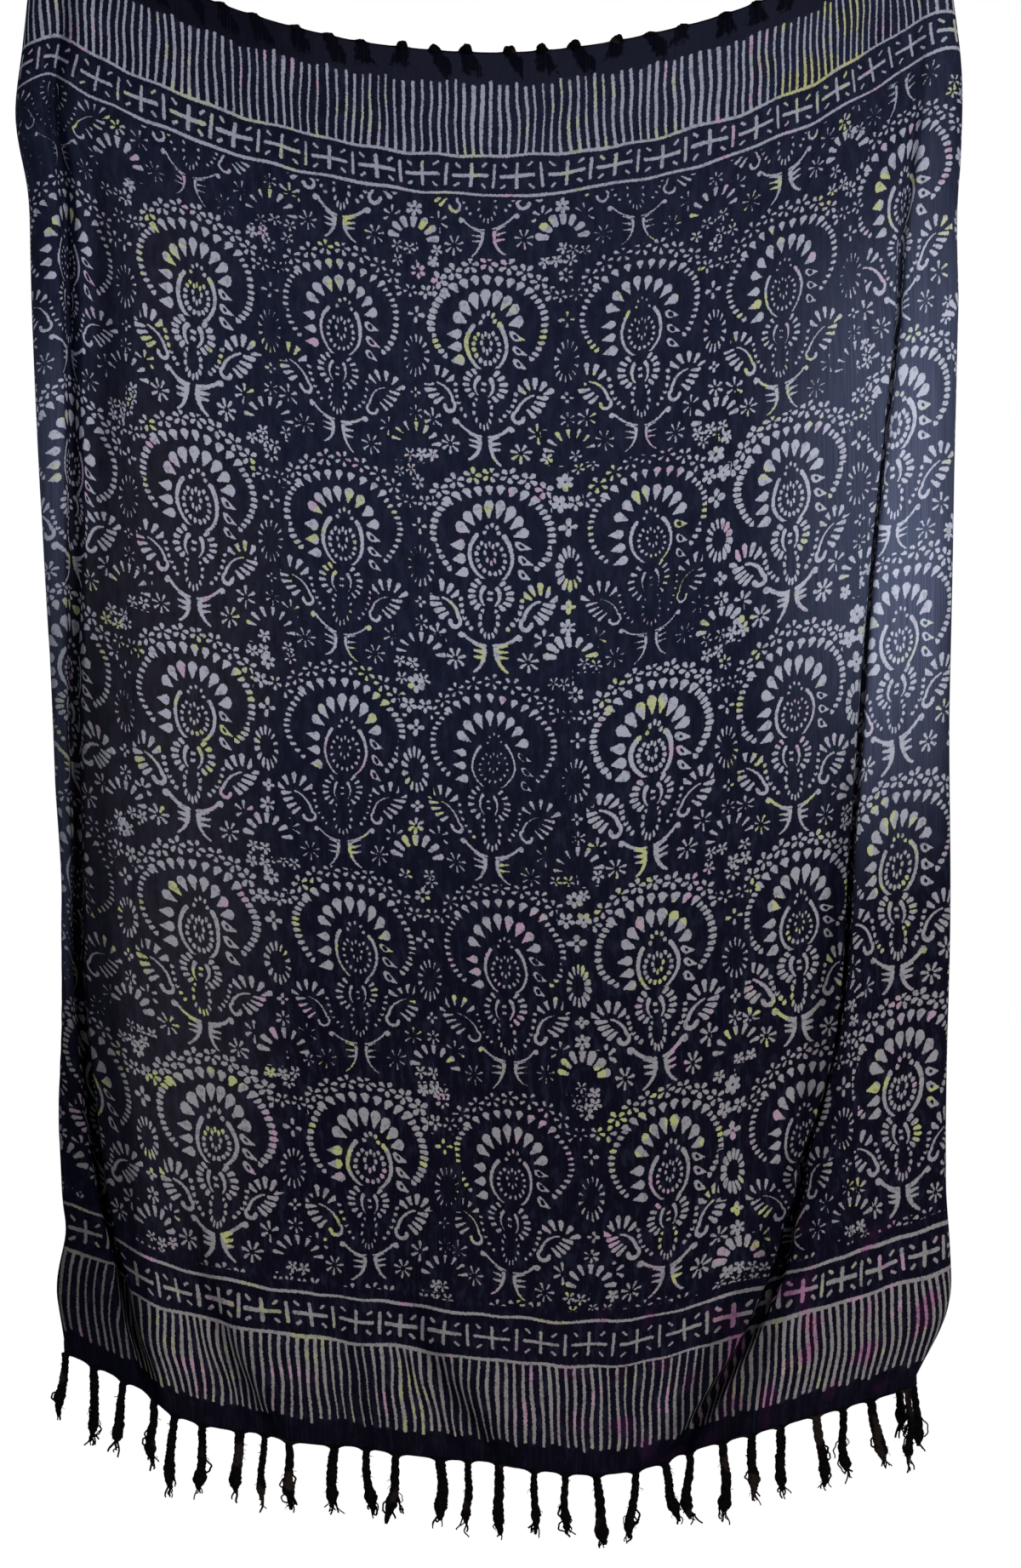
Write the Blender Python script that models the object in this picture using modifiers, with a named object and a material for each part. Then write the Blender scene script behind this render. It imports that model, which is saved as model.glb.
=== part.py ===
"""A batik sarong hung by its two upper corners, with a row of tassels along each short end.

Metres, +Z up. The origin is the middle of the line between the two places where the cloth
is held; X runs across the cloth and -Y is the side that faces the viewer. A point of the
cloth is given by how far across the cut it lies from its left selvedge ("across") and how
far down from its top edge ("down"); the drape turns that into a place in the room.
"""
import math

import bmesh
import bpy
import numpy as np

# the cut cloth
CLOTH_WIDTH = 1.165
CLOTH_LENGTH = 1.500
WALL = 0.0016
SEAM_GAP = 0.0005

# where it is held, and how its top edge sags between the two holds
HOLD_SPAN = 0.945
HOLD_TILT = 0.0208
HOLD_LEFT = 0.093
HOLD_RIGHT = 1.130
SAG_LOWEST = -0.1409
SAG_SHIFT = -0.0171
FLAP_FALL = 0.40
PEAK_ROUNDING = 0.007
BELLY = 0.012

# the tassels and the strip that their roots are fused into
TASSELS = 30
TASSEL_LENGTH = 0.078
TASSEL_RADIUS = 0.0047
TASSEL_VARIES = 0.07
TASSEL_WANDER = 0.10
SIDE_LEAN = 0.20
SWAY = 0.05
STRIP_HEIGHT = 0.006
ROOT_DEPTH = 0.5
ROPE_TWIST = math.radians(330)

# a tassel's rope from its root to below its knot: part of the length, part of the radius
HANGING_ROPE = (
    (0.00, 0.30),
    (0.08, 0.62),
    (0.20, 1.00),
    (0.42, 1.00),
    (0.62, 0.90),
    (0.74, 1.22),
    (0.84, 0.62),
)

# a tassel at the top rises a little, bends over backwards and then falls behind the cloth
RISE = 0.0030
RISE_VARIES = 0.0014
BEND_RADIUS = 0.0085
BEND_ANGLES = (60, 140)
STANDING_WIDTHS = (0.30, 0.62, 0.95, 1.00)
FALLING_ROPE = (
    (0.30, 0.95),
    (0.62, 1.22),
    (0.80, 0.62),
)

# the loose yarn below a knot
LOOSE_ENDS = 2
LOOSE_LENGTH = 0.020
LOOSE_VARIES = 0.22
LOOSE_RADIUS = 0.0022
LOOSE_OVERLAP = 0.22
LOOSE_FAN = 0.34
LOOSE_FAN_VARIES = 0.16

# the grid of the cloth panel
PANEL_COLUMNS = 64
UPPER_ROWS = 15
LOWER_ROWS = 12
LOWER_START = 1.08
STRAIGHT_EDGE = 0.010
FINE_STEPS = 1160
PLEAT_CROWDING = 5.0
ROLL_CROWDING = 1.2
PLEAT_SHARPNESS = 2.2
ROLL_EASE = 1.3

FOLD_COLUMNS = ("down", "across", "reach", "turn")

# deep narrow pleats that hide some cloth behind: where the crease lies, how much cloth goes
# into each of its two walls, and how far the walls turn away from the front, in degrees
LEFT_PLEAT = (
    (0.02, 0.096, 0.014, 20),
    (0.16, 0.098, 0.022, 58),
    (0.40, 0.100, 0.027, 74),
    (0.75, 0.106, 0.028, 76),
    (1.00, 0.100, 0.028, 78),
    (1.13, 0.086, 0.036, 79),
    (1.25, 0.078, 0.041, 80),
    (1.37, 0.104, 0.036, 78),
    (1.43, 0.124, 0.030, 66),
    (1.50, 0.138, 0.024, 45),
)
RIGHT_PLEAT = (
    (0.10, 1.090, 0.014, 8),
    (0.25, 1.080, 0.018, 50),
    (0.38, 1.066, 0.020, 74),
    (0.60, 1.028, 0.021, 78),
    (0.90, 0.985, 0.021, 78),
    (1.19, 0.940, 0.024, 80),
    (1.30, 0.902, 0.028, 76),
    (1.40, 0.868, 0.027, 68),
    (1.50, 0.810, 0.024, 40),
)

# shallow rounded folds, with the same columns
SOFT_FOLDS = {
    "left_shallow": (
        (0.05, 0.128, 0.016, 5),
        (0.35, 0.146, 0.018, 26),
        (0.60, 0.158, 0.020, 30),
        (0.95, 0.170, 0.020, 28),
        (1.25, 0.172, 0.020, 0),
    ),
    "hem_left": (
        (1.20, 0.212, 0.016, 0),
        (1.32, 0.224, 0.018, 26),
        (1.42, 0.246, 0.020, 46),
        (1.50, 0.258, 0.022, 48),
    ),
    "hem_left_middle": (
        (1.25, 0.380, 0.020, 0),
        (1.36, 0.381, 0.020, 20),
        (1.50, 0.386, 0.020, 34),
    ),
    "hem_middle": (
        (1.18, 0.478, 0.030, 0),
        (1.30, 0.485, 0.030, 14),
        (1.42, 0.516, 0.030, 26),
        (1.50, 0.545, 0.030, 32),
    ),
    "middle": (
        (0.80, 0.552, 0.030, 0),
        (1.00, 0.552, 0.030, 9),
        (1.20, 0.552, 0.030, 9),
        (1.35, 0.552, 0.030, 0),
    ),
    "right_shallow": (
        (0.65, 0.930, 0.015, 0),
        (0.85, 0.933, 0.015, 16),
        (1.05, 0.930, 0.015, 14),
        (1.16, 0.928, 0.015, 0),
    ),
}

# each selvedge rolls round to the back: where the roll starts, over how much cloth it
# turns, and how far it has turned by then, in degrees
LEFT_ROLL = (
    (0.00, 0.096, 0.044, 100),
    (0.10, 0.090, 0.060, 100),
    (0.30, 0.084, 0.058, 98),
    (0.55, 0.078, 0.036, 98),
    (0.88, 0.076, 0.018, 100),
    (1.02, 0.074, 0.016, 98),
    (1.14, 0.052, 0.018, 92),
    (1.25, 0.022, 0.012, 84),
    (1.38, 0.034, 0.014, 92),
    (1.50, 0.044, 0.026, 84),
)
RIGHT_ROLL = (
    (0.00, 1.096, 0.040, 100),
    (0.15, 1.112, 0.036, 98),
    (0.45, 1.112, 0.036, 97),
    (0.90, 1.100, 0.034, 98),
    (1.30, 1.088, 0.036, 98),
    (1.50, 1.080, 0.040, 98),
)

# height of the hanging hem
HEM_COLUMNS = ("across", "height")
HEM_LINE = (
    (0.00, -1.508),
    (0.03, -1.519),
    (0.10, -1.548),
    (0.175, -1.583),
    (0.28, -1.604),
    (0.424, -1.621),
    (0.586, -1.639),
    (0.69, -1.645),
    (0.83, -1.613),
    (0.985, -1.576),
    (1.13, -1.542),
    (1.165, -1.534),
)

# seven warps, evenly spaced across the cloth, and how far to the right of the middle
# each one hangs at eight heights
GUIDE_FIRST = 0.100
GUIDE_STEP = 0.162
GUIDE_COLUMNS = ("down", "first", "second", "third", "fourth", "fifth", "sixth", "seventh")
GUIDE_WARPS = (
    (0.00, -0.468, -0.324, -0.168, -0.012, 0.147, 0.300, 0.430),
    (0.33, -0.460, -0.324, -0.168, -0.014, 0.149, 0.299, 0.427),
    (0.60, -0.457, -0.323, -0.166, -0.009, 0.157, 0.306, 0.425),
    (0.85, -0.454, -0.324, -0.166, -0.006, 0.159, 0.313, 0.425),
    (1.05, -0.448, -0.312, -0.150, 0.008, 0.167, 0.318, 0.426),
    (1.25, -0.431, -0.300, -0.139, 0.014, 0.176, 0.312, 0.428),
    (1.37, -0.416, -0.295, -0.139, 0.012, 0.168, 0.296, 0.428),
    (1.50, -0.397, -0.272, -0.130, 0.016, 0.160, 0.268, 0.418),
)


def column(table, names, name, at):
    """One column of a table, read as a smooth curve over the table's first column."""
    rows = np.array(table, float)
    places = rows[:, 0]
    values = rows[:, names.index(name)]
    slopes = np.gradient(values, places)
    at = np.clip(at, places[0], places[-1])
    row = np.clip(np.searchsorted(places, at) - 1, 0, len(places) - 2)
    step = places[row + 1] - places[row]
    t = (at - places[row]) / step
    start = (1 + 2 * t) * (1 - t) ** 2 * values[row] + t * (1 - t) ** 2 * step * slopes[row]
    end = t ** 2 * (3 - 2 * t) * values[row + 1] + t ** 2 * (t - 1) * step * slopes[row + 1]
    return start + end


def fold_place(table, across, down):
    """How far a point lies from a fold's crease, in lengths of the fold's reach."""
    crease = column(table, FOLD_COLUMNS, "across", down)
    reach = column(table, FOLD_COLUMNS, "reach", down)
    return (across - crease) / reach


def heading(across, down):
    """The plan direction of the weft in radians: 0 runs to the right, 90 degrees to the back."""
    turned = np.zeros(np.broadcast(across, down).shape)
    for table in (LEFT_PLEAT, RIGHT_PLEAT):
        place = np.clip(fold_place(table, across, down), -1, 1)
        wall = np.tanh(PLEAT_SHARPNESS * np.sin(np.pi * place)) / math.tanh(PLEAT_SHARPNESS)
        turned = turned - column(table, FOLD_COLUMNS, "turn", down) * wall
    for table in SOFT_FOLDS.values():
        place = fold_place(table, across, down)
        slope = place * np.exp(0.5 - 0.5 * place ** 2)
        turned = turned - column(table, FOLD_COLUMNS, "turn", down) * slope
    for table, side in ((LEFT_ROLL, -1), (RIGHT_ROLL, 1)):
        rolled = np.clip(side * fold_place(table, across, down), 0, 1)
        turned = turned + side * column(table, FOLD_COLUMNS, "turn", down) * rolled ** ROLL_EASE
    return np.radians(turned)


def sagging_edge(x):
    """Height of the top edge between the two holds: a catenary's parabola."""
    rise = (HOLD_TILT / 2 - SAG_LOWEST) / (HOLD_SPAN / 2 - SAG_SHIFT) ** 2
    return SAG_LOWEST + rise * (x - SAG_SHIFT) ** 2


def summed(values, step):
    """Running sum of values along the last axis, by the trapezium rule."""
    middle = 0.5 * (values[..., 1:] + values[..., :-1]) * step
    start = np.zeros(values.shape[:-1] + (1,))
    return np.concatenate((start, np.cumsum(middle, axis=-1)), axis=-1)


def top_heights(across, weft_turn):
    """Height of the top edge at each fine step across, flaps beyond the holds included."""
    step = across[1] - across[0]
    spread = np.linspace(-0.75 * HOLD_SPAN, 0.75 * HOLD_SPAN, FINE_STEPS)
    pieces = np.hypot(np.diff(spread), np.diff(sagging_edge(spread)))
    edge_length = np.concatenate(([0], np.cumsum(pieces)))
    middle = int(round(0.5 * (HOLD_LEFT + HOLD_RIGHT) / step))
    front_length = summed(np.cos(weft_turn), step)
    middle_guide = GUIDE_FIRST + 3 * GUIDE_STEP
    middle_x = column(GUIDE_WARPS, GUIDE_COLUMNS, "fourth", 0.0) + across[middle] - middle_guide
    reached = np.interp(middle_x, spread, edge_length) + front_length - front_length[middle]
    heights = sagging_edge(np.interp(reached, edge_length, spread))
    left = int(round(HOLD_LEFT / step))
    right = int(round(HOLD_RIGHT / step))
    heights[:left] = heights[left] - FLAP_FALL * (across[left] - across[:left])
    heights[right:] = heights[right] - FLAP_FALL * (across[right:] - across[right])
    span = int(3 * PEAK_ROUNDING / step)
    weights = np.exp(-0.5 * (np.arange(-span, span + 1) * step / PEAK_ROUNDING) ** 2)
    padded = np.pad(heights, span, mode="reflect", reflect_type="odd")
    return np.convolve(padded, weights / weights.sum(), "valid")


def drape(downs):
    """Places of the cloth for every fine step across at each given distance down."""
    across = np.linspace(0, CLOTH_WIDTH, FINE_STEPS + 1)
    step = across[1] - across[0]
    down = np.asarray(downs, float)[:, None]
    inside = np.clip(down, STRAIGHT_EDGE, CLOTH_LENGTH - STRAIGHT_EDGE)
    top = top_heights(across, heading(across, np.zeros(1)))
    hem = column(HEM_LINE, HEM_COLUMNS, "height", across)
    z = top + (hem - top) * down / CLOTH_LENGTH
    turn = heading(across[None, :], inside)
    level = np.sqrt(1 - np.gradient(z, step, axis=1) ** 2)
    x = summed(np.cos(turn) * level, step)
    y = summed(np.sin(turn) * level, step)
    names = GUIDE_COLUMNS[1:]
    guides = GUIDE_FIRST + GUIDE_STEP * np.arange(len(names))
    places = np.array([column(GUIDE_WARPS, GUIDE_COLUMNS, name, inside[:, 0]) for name in names])
    for row in range(len(down)):
        shift = places[:, row] - np.interp(guides, across, x[row])
        ends = ((0.0, shift[0]),) + tuple(zip(guides, shift)) + ((CLOTH_WIDTH, shift[-1]),)
        x[row] += column(ends, ("across", "shift"), "shift", across)
        y[row] -= np.interp(guides[3], across, y[row])
    y -= BELLY * np.sin(np.pi * inside / CLOTH_LENGTH) ** 2
    return across, np.stack((x, y, z), axis=-1)


def crowded(across, down, count):
    """Steps across the cloth at one height, closer together where the pleats are."""
    weight = np.ones_like(across)
    down = np.array([down])
    for table in (LEFT_PLEAT, RIGHT_PLEAT):
        weight += PLEAT_CROWDING * np.exp(-(fold_place(table, across, down) / 1.1) ** 4)
    for table in (LEFT_ROLL, RIGHT_ROLL):
        weight += ROLL_CROWDING * np.exp(-fold_place(table, across, down) ** 2)
    total = summed(weight, 1.0)
    return np.interp(np.linspace(0, total[-1], count), total, across)


def sheet_rows(downs):
    """The cloth's grid at each given distance down: steps across, and their places."""
    across, fine = drape(downs)
    rows = []
    for down, places in zip(downs, fine):
        inside = min(max(down, STRAIGHT_EDGE), CLOTH_LENGTH - STRAIGHT_EDGE)
        steps = crowded(across, inside, PANEL_COLUMNS)
        points = [np.interp(steps, across, places[:, axis]) for axis in range(3)]
        rows.append((steps, np.stack(points, axis=-1)))
    return rows


def cloth_sheet(name, downs):
    """An open sheet of the draped cloth over the given rows, as a new object."""
    rows = sheet_rows(downs)
    grid = bmesh.new()
    bmesh.ops.create_grid(grid, x_segments=PANEL_COLUMNS - 1, y_segments=len(downs) - 1, size=1.0)
    for vertex in grid.verts:
        i = int(round((vertex.co.x + 1) / 2 * (PANEL_COLUMNS - 1)))
        j = int(round((1 - vertex.co.y) / 2 * (len(downs) - 1)))
        vertex.co = rows[j][1][i]
    mesh = bpy.data.meshes.new(name)
    grid.to_mesh(mesh)
    grid.free()
    mesh.shade_smooth()
    sheet = bpy.data.objects.new(name, mesh)
    wall = sheet.modifiers.new("wall", "SOLIDIFY")
    wall.thickness = WALL
    wall.offset = 0.0
    wall.use_even_offset = True
    return sheet


def material(name, colour, roughness):
    made = bpy.data.materials.new(name)
    made.use_nodes = True
    shader = made.node_tree.nodes["Principled BSDF"]
    shader.inputs["Base Color"].default_value = (*colour, 1.0)
    shader.inputs["Roughness"].default_value = roughness
    shader.inputs["Metallic"].default_value = 0.0
    return made


def edge_point(edge, across):
    """A place on a draped edge and the direction of the cloth's back there."""
    steps, places = edge
    beside = 0.1 * CLOTH_WIDTH / TASSELS
    point = np.array([np.interp(across, steps, places[:, axis]) for axis in range(3)])
    before = np.array([np.interp(across - beside, steps, places[:, axis]) for axis in range(3)])
    after = np.array([np.interp(across + beside, steps, places[:, axis]) for axis in range(3)])
    weft = after - before
    back = np.array((-weft[1], weft[0], 0.0))
    return point, back / np.linalg.norm(back)


def add_rope(curve, points, radii, twist):
    """One lock of yarn as a square rope that turns about its own line."""
    spline = curve.splines.new("POLY")
    spline.points.add(len(points) - 1)
    for i, (point, radius) in enumerate(zip(points, radii)):
        spline.points[i].co = (*point, 1.0)
        spline.points[i].radius = radius
        spline.points[i].tilt = twist * i / (len(points) - 1)


def add_loose_ends(curve, knot, direction, seed):
    """The short ends that fan out below a knot."""
    for end in range(LOOSE_ENDS):
        spread = LOOSE_FAN + LOOSE_FAN_VARIES * math.sin(seed * 3.1)
        fan = (end - 0.5 * (LOOSE_ENDS - 1)) * spread
        side = np.array((math.sin(fan), 0.25 * math.sin(seed * 1.7 + end), 0.0))
        run = direction + side
        run = run / np.linalg.norm(run)
        length = LOOSE_LENGTH * (1 + LOOSE_VARIES * math.sin(seed * 2.3 + end * 1.9))
        points = [knot + run * length * part for part in (-LOOSE_OVERLAP, 1.0)]
        add_rope(curve, points, [LOOSE_RADIUS, LOOSE_RADIUS * 0.5], 0.5)


def hanging_tassel(curve, edge, index, across):
    """A tassel that hangs straight from the hem, leaning out a little near the sides."""
    root, _ = edge_point(edge, across)
    seed = float(index)
    lean = SIDE_LEAN * root[0] / HOLD_SPAN + SWAY * math.sin(seed * 2.7)
    length = TASSEL_LENGTH * (1 + TASSEL_VARIES * math.sin(seed * 1.9))
    direction = np.array((lean, SWAY * math.sin(seed * 1.3), -1.0))
    direction /= np.linalg.norm(direction)
    points = [root + direction * length * part for part, _ in HANGING_ROPE]
    add_rope(curve, points, [TASSEL_RADIUS * width for _, width in HANGING_ROPE], ROPE_TWIST)
    knot = 0.5 * (points[-2] + points[-1])
    add_loose_ends(curve, knot, direction, seed)


def flopped_tassel(curve, edge, index, across):
    """A tassel that stands up from the top edge, turns over and hangs down behind it."""
    root, back = edge_point(edge, across)
    seed = float(index) + 0.4
    length = TASSEL_LENGTH * (1 + TASSEL_VARIES * math.sin(seed * 1.9))
    rise = RISE + RISE_VARIES * math.sin(seed * 2.3)
    up = np.array((0.0, 0.0, 1.0))
    down = np.array((SWAY * math.sin(seed * 1.7), 0.0, -1.0))
    points = [root, root + up * rise]
    for angle in BEND_ANGLES:
        turned = math.radians(angle)
        over = back * BEND_RADIUS * (1 - math.cos(turned))
        points.append(root + up * (rise + BEND_RADIUS * math.sin(turned)) + over)
    top = points[-1]
    fall = length - rise - math.pi * BEND_RADIUS
    for part, _ in FALLING_ROPE:
        points.append(top + down * fall * part)
    widths = STANDING_WIDTHS + tuple(width for _, width in FALLING_ROPE)
    add_rope(curve, points, [TASSEL_RADIUS * width for width in widths], ROPE_TWIST)
    knot = 0.5 * (points[-2] + points[-1])
    add_loose_ends(curve, knot, down, seed)


def fringe(name, near, far, tassel, colour):
    """A narrow strip beyond the cloth's edge with its tassels fused into it."""
    strip = cloth_sheet(name, (min(near, far), max(near, far)))
    edge = sheet_rows([near + ROOT_DEPTH * (far - near)])[0]
    curve = bpy.data.curves.new(name + "_locks", "CURVE")
    curve.dimensions = "3D"
    curve.bevel_depth = 1.0
    curve.bevel_resolution = 0
    curve.use_fill_caps = True
    pitch = CLOTH_WIDTH / TASSELS
    for index in range(TASSELS):
        wander = TASSEL_WANDER * pitch * math.sin(index * 2.1 + 1.0)
        tassel(curve, edge, index, (index + 0.5) * pitch + wander)
    locks = bpy.data.objects.new(name + "_locks", curve)
    cutters.objects.link(locks)
    bpy.context.view_layer.update()
    evaluated = locks.evaluated_get(bpy.context.evaluated_depsgraph_get())
    mesh = bpy.data.meshes.new_from_object(evaluated)
    bpy.data.objects.remove(locks)
    welded = bmesh.new()
    welded.from_mesh(mesh)
    bmesh.ops.remove_doubles(welded, verts=welded.verts, dist=0.00001)
    bmesh.ops.recalc_face_normals(welded, faces=welded.faces)
    welded.to_mesh(mesh)
    welded.free()
    solid_locks = bpy.data.objects.new(name + "_locks", mesh)
    solid_locks.hide_render = True
    solid_locks.display_type = "WIRE"
    cutters.objects.link(solid_locks)
    joined = strip.modifiers.new("locks", "BOOLEAN")
    joined.operation = "UNION"
    joined.solver = "EXACT"
    joined.use_self = True
    joined.object = solid_locks
    strip.data.materials.append(colour)
    sarong.objects.link(strip)


for old in list(bpy.data.objects):
    bpy.data.objects.remove(old)

sarong = bpy.data.collections.new("batik_sarong")
cutters = bpy.data.collections.new("cutters")
bpy.context.scene.collection.children.link(sarong)
bpy.context.scene.collection.children.link(cutters)

dyed_cloth = material("dyed_cloth", (0.012, 0.013, 0.030), 0.62)
fringe_yarn = material("fringe_yarn", (0.008, 0.007, 0.009), 0.75)

upper_rows = np.linspace(STRAIGHT_EDGE, LOWER_START, UPPER_ROWS)
lower_rows = np.linspace(LOWER_START, CLOTH_LENGTH - STRAIGHT_EDGE, LOWER_ROWS)
panel_rows = (0.0, *upper_rows, *lower_rows[1:], CLOTH_LENGTH)
panel = cloth_sheet("cloth_panel", panel_rows)
panel.data.materials.append(dyed_cloth)
sarong.objects.link(panel)

hem_start = CLOTH_LENGTH + SEAM_GAP
fringe("bottom_fringe", hem_start, hem_start + STRIP_HEIGHT, hanging_tassel, fringe_yarn)
fringe("top_fringe", -SEAM_GAP, -SEAM_GAP - STRIP_HEIGHT, flopped_tassel, fringe_yarn)
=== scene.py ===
import math

import bmesh
import bpy
import numpy as np
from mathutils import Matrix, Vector


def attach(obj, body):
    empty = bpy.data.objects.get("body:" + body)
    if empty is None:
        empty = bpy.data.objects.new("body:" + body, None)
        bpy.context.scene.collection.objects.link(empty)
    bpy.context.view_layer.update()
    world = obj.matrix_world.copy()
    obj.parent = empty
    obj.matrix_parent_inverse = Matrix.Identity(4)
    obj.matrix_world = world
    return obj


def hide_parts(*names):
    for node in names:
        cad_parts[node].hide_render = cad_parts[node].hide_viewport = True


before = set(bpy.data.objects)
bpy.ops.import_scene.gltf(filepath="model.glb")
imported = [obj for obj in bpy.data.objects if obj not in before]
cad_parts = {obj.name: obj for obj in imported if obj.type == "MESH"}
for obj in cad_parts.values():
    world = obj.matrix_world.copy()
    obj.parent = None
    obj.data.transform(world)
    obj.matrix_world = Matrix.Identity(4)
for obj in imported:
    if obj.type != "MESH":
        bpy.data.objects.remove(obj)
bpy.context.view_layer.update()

# the cut cloth and how it is held, in metres
cut = {"width": 1.165, "length": 1.500, "wall": 0.0006, "straightEdge": 0.010}
hold = {
    "span": 0.945, "tilt": 0.0208, "left": 0.093, "right": 1.130,
    "lowest": -0.1409, "shift": -0.0171, "flapFall": 0.40, "rounding": 0.007,
}
grid = {
    "columns": 201, "rows": 222, "fine": 2330, "edgeReach": 0.75, "pleatCrowding": 4.0,
    "crowdingReach": 1.1, "rollCrowding": 1.0,
}
folding = {"belly": 0.012, "sharpness": 2.2, "rollEase": 1.3, "tightest": 0.0004, "tightPart": 0.9}
gather = {"reach": 0.17, "depth": 0.0012, "level": 0.3, "rim": 0.016, "stripPull": 0.7, "stripWall": 0.0010}
tassels = {"count": 30, "wander": 0.10, "length": 0.070, "varies": 0.09, "sideLean": 0.20, "sway": 0.05}

# down the cloth, where the crease lies across it, how much cloth it takes, its turn in degrees
foldNames = ("down", "across", "reach", "turn")
leftPleat = (
    (0.02, 0.096, 0.014, 20), (0.16, 0.098, 0.022, 58), (0.40, 0.100, 0.027, 74),
    (0.75, 0.106, 0.028, 76), (1.00, 0.100, 0.028, 78), (1.13, 0.086, 0.036, 79),
    (1.25, 0.078, 0.041, 80), (1.37, 0.104, 0.036, 78), (1.43, 0.124, 0.030, 66),
    (1.50, 0.138, 0.024, 45),
)
rightPleat = (
    (0.10, 1.088, 0.014, 8), (0.25, 1.075, 0.018, 50), (0.38, 1.057, 0.020, 74),
    (0.60, 1.026, 0.021, 78), (0.90, 0.993, 0.021, 78), (1.19, 0.945, 0.024, 80),
    (1.30, 0.896, 0.028, 76), (1.40, 0.852, 0.027, 68), (1.50, 0.774, 0.024, 40),
)
softFolds = {
    "leftShallow": ((0.05, 0.128, 0.016, 5), (0.35, 0.146, 0.018, 26), (0.60, 0.158, 0.020, 30),
                    (0.95, 0.170, 0.020, 28), (1.25, 0.172, 0.020, 0)),
    "hemLeft": ((1.20, 0.206, 0.016, 0), (1.32, 0.220, 0.018, 30), (1.42, 0.254, 0.018, 56),
                (1.50, 0.296, 0.020, 54)),
    "hemLeftMiddle": ((1.25, 0.380, 0.018, 0), (1.36, 0.384, 0.018, 24), (1.50, 0.398, 0.018, 38)),
    "hemMiddle": ((1.20, 0.436, 0.022, 0), (1.31, 0.452, 0.022, 26), (1.40, 0.484, 0.022, 48),
                  (1.46, 0.522, 0.022, 50), (1.50, 0.548, 0.022, 44)),
    "middle": ((0.80, 0.552, 0.030, 0), (1.00, 0.552, 0.030, 9), (1.20, 0.552, 0.030, 9),
               (1.35, 0.552, 0.030, 0)),
    "rightShallow": ((0.65, 0.930, 0.015, 0), (0.85, 0.933, 0.015, 16), (1.05, 0.930, 0.015, 14),
                     (1.16, 0.928, 0.015, 0)),
}
leftRoll = (
    (0.00, 0.096, 0.044, 100), (0.10, 0.090, 0.060, 100), (0.30, 0.084, 0.058, 98),
    (0.55, 0.078, 0.036, 98), (0.88, 0.076, 0.018, 100), (1.02, 0.074, 0.016, 98),
    (1.14, 0.052, 0.018, 92), (1.25, 0.022, 0.012, 84), (1.38, 0.034, 0.014, 92),
    (1.50, 0.044, 0.026, 84),
)
rightRoll = (
    (0.00, 1.096, 0.040, 100), (0.15, 1.112, 0.036, 98), (0.45, 1.112, 0.036, 97),
    (0.90, 1.100, 0.034, 98), (1.30, 1.088, 0.036, 98), (1.42, 1.082, 0.038, 98),
    (1.50, 1.060, 0.036, 116),
)
hemNames = ("across", "height")
hemLine = (
    (0.00, -1.508), (0.03, -1.519), (0.10, -1.548), (0.175, -1.583), (0.28, -1.604),
    (0.424, -1.621), (0.586, -1.639), (0.69, -1.645), (0.83, -1.613), (0.985, -1.576),
    (1.13, -1.542), (1.165, -1.534),
)
# seven warps, evenly spaced across, and how far right of the middle each hangs
guideFirst, guideStep = 0.100, 0.162
guideNames = ("down", "first", "second", "third", "fourth", "fifth", "sixth", "seventh")
guideWarps = (
    (0.00, -0.468, -0.324, -0.168, -0.012, 0.147, 0.300, 0.417),
    (0.10, -0.467, -0.324, -0.168, -0.012, 0.147, 0.300, 0.422),
    (0.18, -0.474, -0.325, -0.167, -0.013, 0.148, 0.300, 0.430),
    (0.26, -0.463, -0.324, -0.167, -0.013, 0.148, 0.300, 0.430),
    (0.33, -0.460, -0.324, -0.168, -0.014, 0.149, 0.299, 0.427),
    (0.60, -0.457, -0.323, -0.166, -0.009, 0.157, 0.306, 0.425),
    (0.85, -0.454, -0.324, -0.166, -0.006, 0.159, 0.313, 0.425),
    (1.05, -0.446, -0.312, -0.150, 0.008, 0.167, 0.318, 0.429),
    (1.25, -0.424, -0.300, -0.139, 0.014, 0.176, 0.314, 0.433),
    (1.37, -0.409, -0.293, -0.139, 0.012, 0.170, 0.302, 0.438),
    (1.44, -0.402, -0.283, -0.135, 0.014, 0.168, 0.300, 0.442),
    (1.50, -0.393, -0.271, -0.130, 0.016, 0.164, 0.294, 0.428),
)


def smoothColumn(table, names, name, at):
    rows = np.array(table, float)
    places, values = rows[:, 0], rows[:, names.index(name)]
    slopes = np.gradient(values, places)
    at = np.clip(at, places[0], places[-1])
    row = np.clip(np.searchsorted(places, at) - 1, 0, len(places) - 2)
    gap = places[row + 1] - places[row]
    t = (at - places[row]) / gap
    start = (1 + 2 * t) * (1 - t) ** 2 * values[row] + t * (1 - t) ** 2 * gap * slopes[row]
    end = t ** 2 * (3 - 2 * t) * values[row + 1] + t ** 2 * (t - 1) * gap * slopes[row + 1]
    return start + end


def foldPlace(table, across, down):
    crease = smoothColumn(table, foldNames, "across", down)
    return (across - crease) / smoothColumn(table, foldNames, "reach", down)


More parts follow.
